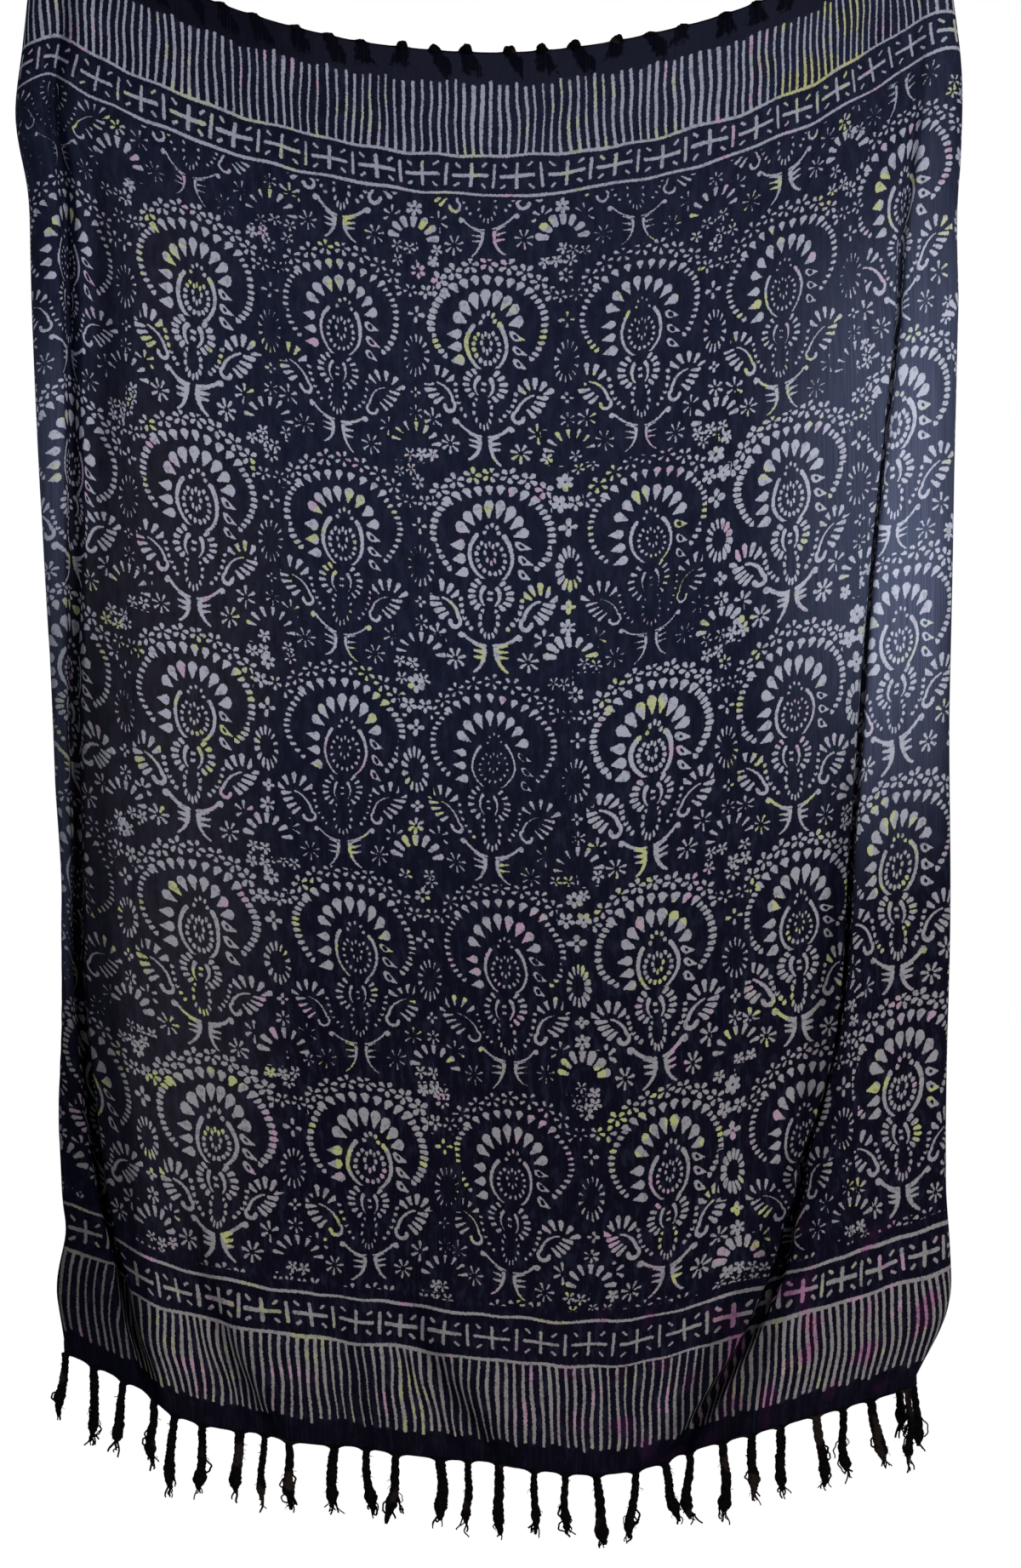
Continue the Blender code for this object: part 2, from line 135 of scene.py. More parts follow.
def weftHeading(across, down):  # 0 runs to the right, 90 degrees to the back
    turned = np.zeros(np.broadcast(across, down).shape)
    sharpness = folding["sharpness"]
    for table in (leftPleat, rightPleat):
        place = np.clip(foldPlace(table, across, down), -1, 1)
        wall = np.tanh(sharpness * np.sin(np.pi * place)) / math.tanh(sharpness)
        turned = turned - smoothColumn(table, foldNames, "turn", down) * wall
    for table in softFolds.values():
        place = foldPlace(table, across, down)
        slope = place * np.exp(0.5 - 0.5 * place ** 2)
        turned = turned - smoothColumn(table, foldNames, "turn", down) * slope
    for table, side in ((leftRoll, -1), (rightRoll, 1)):
        rolled = np.clip(side * foldPlace(table, across, down), 0, 1) ** folding["rollEase"]
        turned = turned + side * smoothColumn(table, foldNames, "turn", down) * rolled
    return np.radians(turned)


def saggingEdge(x):
    rise = (hold["tilt"] / 2 - hold["lowest"]) / (hold["span"] / 2 - hold["shift"]) ** 2
    return hold["lowest"] + rise * (x - hold["shift"]) ** 2


def summed(values, gap):
    middle = 0.5 * (values[..., 1:] + values[..., :-1]) * gap
    return np.concatenate((np.zeros(values.shape[:-1] + (1,)), np.cumsum(middle, axis=-1)), axis=-1)


def topHeights(across, weftTurn):
    gap = across[1] - across[0]
    reach = grid["edgeReach"] * hold["span"]
    spread = np.linspace(-reach, reach, grid["fine"])
    pieces = np.hypot(np.diff(spread), np.diff(saggingEdge(spread)))
    edgeLength = np.concatenate(([0], np.cumsum(pieces)))
    middle = int(round(0.5 * (hold["left"] + hold["right"]) / gap))
    frontLength = summed(np.cos(weftTurn), gap)
    middleX = smoothColumn(guideWarps, guideNames, "fourth", 0.0)
    middleX += across[middle] - guideFirst - 3 * guideStep
    reached = np.interp(middleX, spread, edgeLength) + frontLength - frontLength[middle]
    heights = saggingEdge(np.interp(reached, edgeLength, spread))
    left, right = int(round(hold["left"] / gap)), int(round(hold["right"] / gap))
    heights[:left] = heights[left] - hold["flapFall"] * (across[left] - across[:left])
    heights[right:] = heights[right] - hold["flapFall"] * (across[right:] - across[right])
    span = int(3 * hold["rounding"] / gap)
    weights = np.exp(-0.5 * (np.arange(-span, span + 1) * gap / hold["rounding"]) ** 2)
    padded = np.pad(heights, span, mode="reflect", reflect_type="odd")
    return np.convolve(padded, weights / weights.sum(), "valid")


def drape(downs):
    across = np.linspace(0, cut["width"], grid["fine"] + 1)
    gap = across[1] - across[0]
    down = np.asarray(downs, float)[:, None]
    inside = np.clip(down, cut["straightEdge"], cut["length"] - cut["straightEdge"])
    top = topHeights(across, weftHeading(across, np.zeros(1)))
    hem = smoothColumn(hemLine, hemNames, "height", across)
    z = top + (hem - top) * down / cut["length"]
    turn = weftHeading(across[None, :], inside)
    level = np.sqrt(1 - np.gradient(z, gap, axis=1) ** 2)
    x = summed(np.cos(turn) * level, gap)
    y = summed(np.sin(turn) * level, gap)
    names = guideNames[1:]
    guides = guideFirst + guideStep * np.arange(len(names))
    places = np.array([smoothColumn(guideWarps, guideNames, n, inside[:, 0]) for n in names])
    for row in range(len(down)):
        shift = places[:, row] - np.interp(guides, across, x[row])
        ends = ((0.0, shift[0]),) + tuple(zip(guides, shift)) + ((cut["width"], shift[-1]),)
        x[row] += smoothColumn(ends, ("across", "shift"), "shift", across)
        y[row] -= np.interp(guides[3], across, y[row])
    y -= folding["belly"] * np.sin(np.pi * inside / cut["length"]) ** 2
    return across, np.stack((x, y, z), axis=-1)


def crowded(across, down, count):  # steps across, closer together where the pleats are
    weight = np.ones_like(across)
    down = np.array([down])
    for table in (leftPleat, rightPleat):
        place = foldPlace(table, across, down) / grid["crowdingReach"]
        weight += grid["pleatCrowding"] * np.exp(-place ** 4)
    for table in (leftRoll, rightRoll):
        weight += grid["rollCrowding"] * np.exp(-foldPlace(table, across, down) ** 2)
    total = summed(weight, 1.0)
    return np.interp(np.linspace(0, total[-1], count), total, across)


ripples = (  # across and down wavelengths, height, phase
    (0.310, 0.95, 0.0016, 0.4), (0.210, 1.60, 0.0012, 2.1), (0.125, 0.70, 0.0008, 4.0),
    (0.074, 0.42, 0.0005, 1.2), (-0.190, 0.88, 0.0010, 3.3), (-0.095, 0.37, 0.0005, 5.1),
)
smallCreases = (  # from across and down, to across and down, width, depth
    (0.936, 1.395, 0.941, 1.500, 0.0040, 0.0022),
    (0.968, 1.290, 0.962, 1.480, 0.0040, 0.0034),
    (1.090, 0.020, 0.985, 0.160, 0.0100, 0.0030),
    (1.070, 0.050, 0.930, 0.165, 0.0090, 0.0018),
    (0.110, 0.020, 0.215, 0.150, 0.0100, 0.0024),
    (0.665, 1.330, 0.690, 1.500, 0.0120, 0.0022),
    (0.770, 1.360, 0.750, 1.500, 0.0100, 0.0020),
)
creaseStart = 0.12  # how far a small crease has already come in where it starts


def surfaceWaves(across, down):
    push = np.zeros(np.broadcast(across, down).shape)
    for acrossLength, downLength, height, phase in ripples:
        push += height * np.sin(2 * np.pi * (across / acrossLength + down / downLength) + phase)
    for x0, y0, x1, y1, width, depth in smallCreases:
        run = np.array((x1 - x0, y1 - y0))
        t = ((across - x0) * run[0] + (down - y0) * run[1]) / (run @ run)
        near = np.clip(t, 0, 1)
        away = np.hypot(across - x0 - near * run[0], down - y0 - near * run[1])
        fade = np.sin(np.pi * np.clip(creaseStart + (1 - creaseStart) * near, 0, 1)) ** 0.5
        push += depth * fade * np.exp(-(away / width) ** 2)
    # no ripple may press the walls of a pleat together or pinch the left-hand front bend
    for table in (leftPleat, rightPleat):
        tight = np.exp(-(foldPlace(table, across, np.array([down])) / folding["tightPart"]) ** 4)
        push += tight * (np.maximum(push, -folding["tightest"]) - push)
    tight = np.exp(-(foldPlace(leftRoll, across, np.array([down])) / folding["tightPart"]) ** 4)
    push += tight * (np.minimum(push, folding["tightest"]) - push)
    return push


tasselPitch = cut["width"] / tassels["count"]
tasselAcross = np.array([
    (i + 0.5) * tasselPitch + tassels["wander"] * tasselPitch * math.sin(i * 2.1 + 1.0)
    for i in range(tassels["count"])
])


def drawnIn(across):  # 1 at a tassel's root, 0 half way to the next one
    nearest = np.abs(np.asarray(across)[:, None] - tasselAcross[None, :]).min(axis=1)
    return np.exp(-(nearest / (gather["reach"] * tasselPitch)) ** 2)


def pointsAt(steps, across, places):
    return np.stack([np.interp(steps, across, places[:, axis]) for axis in range(3)], axis=-1)


def waved(points, steps, down):
    along = np.gradient(points, axis=0)
    back = np.stack((-along[:, 1], along[:, 0], np.zeros(len(steps))), axis=-1)
    back /= np.linalg.norm(back, axis=1)[:, None] + 1e-9
    return points + back * surfaceWaves(steps, down)[:, None]


def sheetRows(downs):
    across, fine = drape(downs)
    rows = []
    for down, places in zip(downs, fine):
        inside = min(max(down, cut["straightEdge"]), cut["length"] - cut["straightEdge"])
        steps = crowded(across, inside, grid["columns"])
        rows.append((steps, waved(pointsAt(steps, across, places), steps, inside)))
    return rows


def addSheet(name, downs, rows, wall):
    shape = bmesh.new()
    columns = len(rows[0][0])
    bmesh.ops.create_grid(shape, x_segments=columns - 1, y_segments=len(downs) - 1, size=1.0)
    placeMap = shape.loops.layers.uv.new("cutPlace")
    cutPlaces = {}
    for vertex in shape.verts:
        i = int(round((vertex.co.x + 1) / 2 * (columns - 1)))
        j = int(round((1 - vertex.co.y) / 2 * (len(downs) - 1)))
        cutPlaces[vertex.index] = (rows[j][0][i], downs[j])
        vertex.co = rows[j][1][i]
    for face in shape.faces:
        for corner in face.loops:
            corner[placeMap].uv = cutPlaces[corner.vert.index]
    mesh = bpy.data.meshes.new(name)
    shape.to_mesh(mesh)
    shape.free()
    mesh.shade_smooth()
    made = bpy.data.objects.new(name, mesh)
    thickness = made.modifiers.new("wall", "SOLIDIFY")
    thickness.thickness = wall
    thickness.offset = 0.0
    bpy.context.scene.collection.objects.link(made)
    return made


print("print pattern")


class Wire:  # a node's output that takes part in plain sums
    def __init__(self, socket):
        self.socket = socket

    def __add__(self, other):
        return calc("ADD", self, other)

    def __sub__(self, other):
        return calc("SUBTRACT", self, other)

    def __rsub__(self, other):
        return calc("SUBTRACT", other, self)

    def __mul__(self, other):
        return calc("MULTIPLY", self, other)

    def __truediv__(self, other):
        return calc("DIVIDE", self, other)

    def __gt__(self, other):
        return calc("GREATER_THAN", self, other)

    def __lt__(self, other):
        return calc("LESS_THAN", self, other)

    def __abs__(self):
        return calc("ABSOLUTE", self)


def treeOf(values):
    return next(value.socket.id_data for value in values if isinstance(value, Wire))


def setSocket(socket, value):
    if isinstance(value, Wire):
        socket.id_data.links.new(value.socket, socket)
    else:
        socket.default_value = value


def addNode(kind, values, output=0, **settings):  # values in order or by the name of the input
    values = values if isinstance(values, dict) else dict(enumerate(values))
    made = treeOf(values.values()).nodes.new(kind)
    for name, value in settings.items():
        setattr(made, name, value)
    for label, value in values.items():
        setSocket(made.inputs[label], value)
    return Wire(made.outputs[output])


def calc(operation, *values, clamp=False):
    return addNode("ShaderNodeMath", values, operation=operation, use_clamp=clamp)


def rounded(value):
    return calc("ROUND", value)


def least(first, second):
    return calc("MINIMUM", first, second)


def most(first, second):
    return calc("MAXIMUM", first, second)


def limited(value, low, high):
    return addNode("ShaderNodeClamp", (value, low, high))


def vectorCalc(operation, *values):
    output = "Value" if operation in ("LENGTH", "DOT_PRODUCT") else "Vector"
    return addNode("ShaderNodeVectorMath", values, output, operation=operation)


def lengthOf(vector):
    return vectorCalc("LENGTH", vector)


def stretched(vector, wide, tall, addX=0.0, addY=0.0):
    return vectorCalc("MULTIPLY_ADD", vector, (wide, tall, 0), (addX, addY, 0))


def shaken(colour, wide, tall):  # a random colour as a shift either way
    return stretched(colour, wide, tall, -wide / 2, -tall / 2)


def combined(*values):
    return addNode("ShaderNodeCombineXYZ", values)


def separated(value):
    return [Wire(socket) for socket in addNode("ShaderNodeSeparateXYZ", (value,)).socket.node.outputs]


def mixed(kind, share, first, second):  # kind is FLOAT, VECTOR or RGBA
    start, end = {"FLOAT": (2, 0), "VECTOR": (4, 1), "RGBA": (6, 2)}[kind]
    values = {0: share, start: first, start + 1: second}
    return addNode("ShaderNodeMix", values, end, data_type=kind)


def smoothStep(value, low, high):
    return addNode("ShaderNodeMapRange", (value, low, high), interpolation_type="SMOOTHSTEP")


def noise(place, scale, detail=1.0, rough=0.5, output="Fac", flat=True):
    values = {"Vector": place, "Scale": scale, "Detail": detail, "Roughness": rough}
    return addNode("ShaderNodeTexNoise", values, output, noise_dimensions="2D" if flat else "3D")


def whiteNoise(place, dimensions="3D"):  # a value and a colour
    values = {"W" if dimensions == "1D" else "Vector": place}
    value = addNode("ShaderNodeTexWhiteNoise", values, "Value", noise_dimensions=dimensions)
    return value, Wire(value.socket.node.outputs["Color"])


def newGroup(name, vectors, floats, result=("Depth", "Float")):
    tree = bpy.data.node_groups.new(name, "ShaderNodeTree")
    for labels, kind in ((vectors, "Vector"), (floats, "Float")):
        for label in labels:
            tree.interface.new_socket(label, in_out="INPUT", socket_type="NodeSocket" + kind)
    tree.interface.new_socket(result[0], in_out="OUTPUT", socket_type="NodeSocket" + result[1])
    given = tree.nodes.new("NodeGroupInput").outputs
    return tree, {label: Wire(given[label]) for label in (*vectors, *floats)}


def finishGroup(group, value):
    setSocket(group.nodes.new("NodeGroupOutput").inputs[0], value)


def useGroup(group, **values):
    return addNode("ShaderNodeGroup", values, node_tree=group)


def lookUp(share, rows, starts=None):  # the row of three numbers at a share of the table
    rows = np.array(rows, float)
    low, span = rows.min(axis=0), np.ptp(rows, axis=0)
    table = addNode("ShaderNodeValToRGB", (share,))
    steps = table.socket.node.color_ramp
    steps.interpolation = "CONSTANT"
    steps.elements.remove(steps.elements[1])
    steps.elements[0].position = 0.0
    for index, row in enumerate(rows):
        start = starts[index] if starts else index / len(rows)
        entry = steps.elements.new(start) if index else steps.elements[0]
        entry.color = (*((row - low) / np.where(span > 0, span, 1)), 1.0)
    return vectorCalc("MULTIPLY_ADD", table, tuple(span), tuple(low))


# where a point lies from the nearest of several marks round a ring, x outward
ringPlace, given = newGroup(
    "ringPlace", ("Place", "Scale", "Offset"),
    ("Density", "Shift", "Last", "Radius", "Arc", "Lean"), ("Local", "Vector"),
)
scaled = vectorCalc("MULTIPLY_ADD", given["Place"], given["Scale"], given["Offset"])
x, y, _ = separated(scaled)
number = calc("ARCTAN2", x, y) * given["Density"] + given["Shift"]
nearest = limited(rounded(number), 0.0, given["Last"])
away = lengthOf(scaled)
outward = (away - 1.0) * given["Radius"]
aside = (number - nearest) * given["Arc"] * away
finishGroup(ringPlace, combined(outward, outward * given["Lean"] + aside))

# how deep a point lies inside a drop, negative outside it
dropMark, given = newGroup("dropMark", ("Local",), ("Long", "Inner", "Widening"))
x, y, _ = separated(given["Local"])
share = calc("ADD", x / given["Long"], 0.5, clamp=True)
along = x - (share - 0.5) * given["Long"]
size = share * given["Widening"] + given["Inner"]
finishGroup(dropMark, size - calc("SQRT", along * along + y * y))

# how deep a point lies inside a tapering stroke along part of a circle
arcMark, given = newGroup(
    "arcMark", ("Place", "Scale", "Offset"),
    ("Density", "Shift", "Radius", "Arc", "Thick", "Taper"),
)
scaled = vectorCalc("MULTIPLY_ADD", given["Place"], given["Scale"], given["Offset"])
x, y, _ = separated(scaled)
number = calc("ARCTAN2", x, y) * given["Density"] + given["Shift"]
nearest = limited(number, -1.0, 1.0)
aside = (number - nearest) * given["Arc"]
outward = (lengthOf(scaled) - 1.0) * given["Radius"]
size = nearest * given["Taper"] + given["Thick"]
finishGroup(arcMark, size - calc("SQRT", outward * outward + aside * aside))

# one repeat in millimetres about the middle of the seed, y down; rings of drops, each with its
# middle, radii, the way its middle mark points (degrees clockwise from the top), the angle from
# mark to mark, their number (0 closes the ring), a drop's length, half widths and slant
ringNames = ("x", "y", "wide", "tall", "turn", "step", "count", "long", "inner", "outer", "lean")
rings = {
    "seedInner": (0, -4.2, 5.2, 9.7, 0, 45, 0, 0.8, 1.9, 2.1, 0),
    "seedOuter": (0, 0, 14, 16.5, 180, 22.3, 14, 1.1, 1.9, 2.2, 0),
    "crown": (1.5, -25, 7.5, 9.5, 0, 42, 5, 0.9, 1.9, 2.1, 0),
    "topPetals": (0, -13.4, 31.5, 36, 4, 19.7, 8, 10.4, 1.4, 5.8, 0),
    "leftPetals": (100.5, -12.5, 138, 138, -96, 6.1, 3, 9.0, 5.6, 1.2, 0),
    "rightPetals": (-63, 5.5, 100, 100, 90, 8.9, 3, 9.2, 5.2, 1.1, -0.46),
    "outerTop": (0, -21.5, 62, 49, -2, 11.2, 9, 7, 1.4, 4.3, 0),
    "outerLeft": (0, -21.5, 62, 49, -92, 7.4, 12, 2.4, 2.3, 2.9, 0),
    "outerRight": (0, -21.5, 62, 49, 92, 7.4, 12, 2.4, 2.3, 2.9, 0),
    "garland": (1, -21, 77, 68, 0, 15.2, 9, 3.2, 1.5, 2.7, 0),
    "neck": (0, 40, 19.5, 17, 90, 21, 6, 3.8, 2.0, 2.5, 0),
    "stemInner": (0, 68, 8.8, 17.5, 180, 26, 11, 2.0, 1.8, 2.0, 0),
    "stemOuter": (-22, 40, 54, 54, 114, 7.2, 6, 0.8, 2.0, 2.2, 0),
    "fan": (53, 51, 17.5, 17.5, 2, 29, 5, 8.5, 1.6, 3.3, 0),
    "stemLeaves": (29, 37, 34, 34, 127, 11.5, 4, 8.5, 1.7, 2.9, 0.25),
    "barbs": (-40, 101, 53, 53, 90, 6.6, 3, 8, 2.3, 1.2, 0.18),
    "upperStar": (56, 85.5, 6.6, 6.6, 0, 60, 0, 6.0, 0.9, 2.0, 0),
    "lowerStar": (38, 109, 6.6, 6.6, 0, 51.43, 0, 6.0, 0.9, 1.8, 0),
    "lace": (0, -78, 5.2, 5.2, 0, 60, 0, 2.0, 1.8, 2.3, 0),
    "smallFlower": (8.5, -56, 4.8, 4.8, 0, 72, 0, 2.6, 1.2, 2.1, 0),
    "cross": (0, -30.5, 5.6, 5.6, 0, 90, 0, 2.8, 1.8, 2.5, 0),
    "daisy": (0, 13, 10.5, 17.5, 0, 25.714, 0, 5.0, 0.9, 1.8, 0),
    "hatch": (0, 52, 4.0, 4.0, 45, 90, 0, 1.2, 1.8, 2.0, 0),
    "gapStar": (0, 74, 5, 5, 0, 60, 0, 3.6, 0.9, 1.6, 0),
    "halfDaisy": (0, 108, 21, 20, 0, 27, 7, 7.5, 1.6, 2.9, 0),
}
ringOrder = list(rings)


def ringNumbers(row):
    r = dict(zip(ringNames, row))
    low = abs(r["turn"]) == 180  # counted from the bottom, for a ring that is open at the top
    side = 1 if low else -1
    turn = 0 if low else math.radians(r["turn"])
    density = 1 / math.radians(r["step"])
    whole = r["count"] == 0
    shift = math.pi * density if whole else 0.5 * (r["count"] - 1) - turn * density
    last = round(2 * math.pi * density) if whole else r["count"] - 1
    radius = 0.5 * (r["wide"] + r["tall"])
    return {
        "Scale": (1 / r["wide"], side / r["tall"], 0),
        "Offset": (-r["x"] / r["wide"], -side * r["y"] / r["tall"], 0),
        "count": (density, shift, last),
        "size": (radius, radius / density, r["lean"]),
        "drop": (r["long"], r["inner"], r["outer"] - r["inner"]),
    }


arcNames = ("start", "by", "end", "thick")
arcs = {
    "bracket": ((6.4, 32.5), (9.2, 40), (5.6, 51.5), (2.5, 0.9)),
    "fernStem": ((52, 46), (38.5, 54), (33, 64.5), (1.1, 2.0)),
    "fernHook": ((33, 64.5), (36.5, 75), (41.5, 70), (2.0, 2.5)),
    "whisker": ((4.6, 95.0), (16.5, 91.5), (27, 83), (1.7, 1.9)),
    "tail": ((6.0, 98.5), (7.8, 111), (17.5, 122), (2.8, 1.4)),
    "seedSide": ((14.6, -22.4), (21.8, -3), (5.2, 25.4), (2.7, 1.5)),
}


def arcNumbers(row):
    a = dict(zip(arcNames, row))
    (ax, ay), (bx, by), (cx, cy) = a["start"], a["by"], a["end"]
    twice = 2 * (ax * (by - cy) + bx * (cy - ay) + cx * (ay - by))
    squares = [px * px + py * py for px, py in (a["start"], a["by"], a["end"])]
    mx = (squares[0] * (by - cy) + squares[1] * (cy - ay) + squares[2] * (ay - by)) / twice
    my = (squares[0] * (cx - bx) + squares[1] * (ax - cx) + squares[2] * (bx - ax)) / twice
    radius = math.hypot(ax - mx, ay - my)
    for side in (-1, 1):  # angles from the top, or from the bottom where the arc crosses it
        angles = [math.atan2(px - mx, side * (py - my)) for px, py in (a["start"], a["by"], a["end"])]
        if min(angles[0], angles[2]) <= angles[1] <= max(angles[0], angles[2]):
            break
    half = 0.5 * (angles[2] - angles[0])
    first, last = a["thick"]
    return {
        "Scale": (1 / radius, side / radius, 0),
        "Offset": (-mx / radius, -side * my / radius, 0),
        "count": (1 / half, -0.5 * (angles[2] + angles[0]) / half, radius),
        "size": (half * radius, 0.5 * (first + last), 0.5 * (last - first)),
    }


# the small motifs between two figures: where each begins, its row and half its width
gaps = (
    (-91, "lace", 9.0), (-66, "smallFlower", 17.0), (-46, "cross", 11.0), (-14, "daisy", 17.5),
    (40, "hatch", 10.5), (63, "gapStar", 9.0), (83, "halfDaisy", 28.0),
)
gapTop, gapLength = -100, 230

# where one part of the figure gives way to the next, in its own millimetres
ovals = {  # middle down, half width, half height
    "seed": (-3.4, 9.6, 13.2), "crown": (-10, 23.5, 31), "petals": (-21.5, 44.5, 41.5),
    "head": (-21.5, 67, 57),
}
parting = {
    "crownFoot": -20.0, "petalSide": -19.0, "petalTilt": -0.055, "outerSide": -21.5, "outerTilt": 0.675,
    "outerCap": -15, "stemAxis": 3.0, "neckFoot": 53.0, "neckTilt": -0.45, "neckReach": 27.0,
    "stemReach": 13.3, "stemEdge": 34.2, "leafTop": 45.2, "barbTop": 91.0, "starEdge": 25.0,
    "sideStarEdge": 43.0, "sideStarTop": 73.0, "lowerStar": 69.3, "starTilt": -0.6,
    "headFoot": 33.0, "headFootLeast": 22.5, "headFootAside": 34.0, "headFootTilt": -0.6,
}
strokes = {
    "fernEdge": 28.5, "hookTop": 64.5, "whiskerTop": 76.0, "tailTop": 96.6,
    "beadHeight": 41.5, "bead": (0.9, 3.5, 0), "beadSize": 1.9,
    "knob": (29.5, 83.5, 0), "knobSize": 3.6,
}
petalHole = {"in": 3.6, "size": 2.0}
smallPetals, starPetals = 5.6, 3.7  # how far they stand from the middle of their flower
starDrop = {"Long": 3.2, "Inner": 1.3, "Widening": 0.8}
starCells = {
    "wide": 13.5, "tall": 13.78, "top": -95.0, "kept": 0.40, "still": 0.35, "shift": 0.3,
    "besideFan": 4.0, "footRow": 7.5, "footRows": 7.2,
}
outOfReach = 99.0


def inOval(place, name):
    middle, wide, tall = ovals[name]
    return lengthOf(stretched(place, 1 / wide, 1 / tall, 0, -middle / tall)) < 1.0


def switched(test, off, on):
    return mixed("FLOAT", test, off, on)


def ringRow(name):
    return ringOrder.index(name)


def fiveRound(radius):
    return ringNumbers((0, 0, radius, radius, 0, 72, 0, 0, 0, 0, 0))


def aroundRing(place, ring):
    density, shift, last = ring["count"]
    radius, arc, lean = ring["size"]
    return useGroup(
        ringPlace, Place=place, Scale=ring["Scale"], Offset=ring["Offset"],
        Density=density, Shift=shift, Last=last, Radius=radius, Arc=arc, Lean=lean)


def readTable(pick, table):
    share = pick * (1 / len(table)) + 0.5 / len(table)
    found = {name: lookUp(share, [row[name] for row in table]) for name in table[0]}
    return {name: found[name] if name in ("Scale", "Offset") else separated(found[name]) for name in found}


def headRing(place, x, y):  # the ring of the seed, the petals, the outer ring or the garland
    isRight = x > 0.0
    pick = ((y < parting["crownFoot"]) + 1.0) * (1.0 - inOval(place, "seed"))
    isSide = x * parting["petalTilt"] + y > parting["petalSide"]
    petals = isSide * (isRight + 1.0) + ringRow("topPetals")
    pick = switched(1.0 - inOval(place, "crown"), pick, petals)
    isSide = abs(x) * parting["outerTilt"] + y > parting["outerSide"]
    outer = isSide * (isRight + 1.0) + ringRow("outerTop")
    capped = vectorCalc("MINIMUM", place, (outOfReach, parting["outerCap"], 0))
    pick = switched(1.0 - inOval(capped, "petals"), pick, outer)
    return switched(1.0 - inOval(place, "head"), pick, ringRow("garland"))


def stemRing(away, lowered):  # the ring of the stem's half, folded about its leaning axis
    isNeck = away * parting["neckTilt"] + lowered < parting["neckFoot"]
    reach = isNeck * (parting["neckReach"] - parting["stemReach"]) + parting["stemReach"]
    pick = switched(away > reach, ringRow("stemInner") - isNeck, ringRow("stemOuter"))
    pick = switched(away > parting["stemEdge"], pick, (lowered > parting["leafTop"]) + ringRow("fan"))
    pick = switched(lowered > parting["barbTop"], pick, ringRow("barbs"))
    atSide = away > parting["sideStarEdge"]
    starTop = atSide * (parting["sideStarTop"] - parting["barbTop"]) + parting["barbTop"]
    isStar = (lowered > starTop) * (away > parting["starEdge"])
    isLower = away * parting["starTilt"] + lowered > parting["lowerStar"]
    return switched(isStar, pick, isLower + ringRow("upperStar"))


def petalsAt(chosen, pick):  # the chosen ring's drop, with the garland's flowers and the eyed petals
    ring = readTable(pick, [ringNumbers(row) for row in rings.values()])
    local = aroundRing(chosen, ring)
    isFlower = calc("COMPARE", pick, ringRow("garland"), 0.1)
    drop = mixed("VECTOR", isFlower, local, aroundRing(local, fiveRound(smallPetals)))
    long, inner, widening = ring["drop"]
    depth = useGroup(dropMark, Local=drop, Long=long, Inner=inner, Widening=widening)
    isEyed = calc("COMPARE", pick, ringRow("rightPetals"), 0.1)
    hole = lengthOf(vectorCalc("ADD", local, (petalHole["in"], 0, 0))) - petalHole["size"]
    return least(depth, (1.0 - isEyed) * outOfReach + hole)


def strokeAt(place, stem, away, lowered, isBelow):
    isOuter = away > strokes["fernEdge"]
    pick = isOuter * ((lowered > strokes["hookTop"]) + 1.0)
    pick = switched(isOuter * -outOfReach + lowered > strokes["whiskerTop"], pick, 3.0)
    pick = switched(lowered > strokes["tailTop"], pick, 4.0)
    pick = switched(isBelow, 5.0, pick)
    arc = readTable(pick, [arcNumbers(row) for row in arcs.values()])
    density, shift, radius = arc["count"]
    long, thick, taper = arc["size"]
    return useGroup(
        arcMark, Place=mixed("VECTOR", isBelow, place, stem), Scale=arc["Scale"], Offset=arc["Offset"],
        Density=density, Shift=shift, Radius=radius, Arc=long, Thick=thick, Taper=taper)


def scatteredStars(place, shear):  # over the open ground between the fan and the next garland
    wide, tall, still = starCells["wide"], starCells["tall"], starCells["still"]
    cell = stretched(place, 1 / wide, 1 / tall, 0, -starCells["top"] / tall)
    cellNumber = vectorCalc("FLOOR", cell)
    chance, colour = whiteNoise(vectorCalc("ADD", cellNumber, combined(0.0, 0.0, shear)))
    within = vectorCalc("SUBTRACT", cell, cellNumber)
    shift = starCells["shift"]
    within = vectorCalc("MULTIPLY_ADD", colour, (-shift, -shift, 0), within)
    within = stretched(within, wide, tall, -still * wide, -still * tall)
    star = useGroup(dropMark, Local=aroundRing(within, fiveRound(starPetals)), **starDrop)
    cellX, cellY, _ = separated(cellNumber)
    besideFan = abs(cellX + 0.5) > starCells["besideFan"]
    atFoot = abs(cellY - starCells["footRow"]) > starCells["footRows"]
    isKept = besideFan * atFoot * (chance > starCells["kept"])
    return (1.0 - isKept) * -outOfReach + star


# how deep a point lies in the wax of the figure or of the small motifs beside it
figureMark, given = newGroup("figureMark", ("Place", "GapPlace"), ("Shear", "GapBold"))
place = given["Place"]
x, y, _ = separated(place)
aside = x + parting["stemAxis"]
away = abs(aside)
lowered = y - aside * given["Shear"]
stem = combined(away, lowered)
split = abs(abs(x) - parting["headFootAside"]) * parting["headFootTilt"] + parting["headFoot"]
isBelow = y > most(split, parting["headFootLeast"])
pick = switched(isBelow, headRing(place, x, y), stemRing(away, lowered))
chosen = mixed("VECTOR", isBelow, place, stem)

gapX, gapY, _ = separated(given["GapPlace"])
gapRows = [(ringRow(name), half, 0) for _, name, half in gaps]
gapStarts = [(start - gapTop) / gapLength for start, _, _ in gaps]
gapPick, gapHalf, _ = separated(lookUp(gapY * (1 / gapLength) - gapTop / gapLength, gapRows, gapStarts))
isGap = abs(gapX) < gapHalf
pick = rounded(switched(isGap, pick, gapPick))
chosen = mixed("VECTOR", isGap, chosen, combined(abs(gapX), gapY))
depth = isGap * given["GapBold"] + petalsAt(chosen, pick)

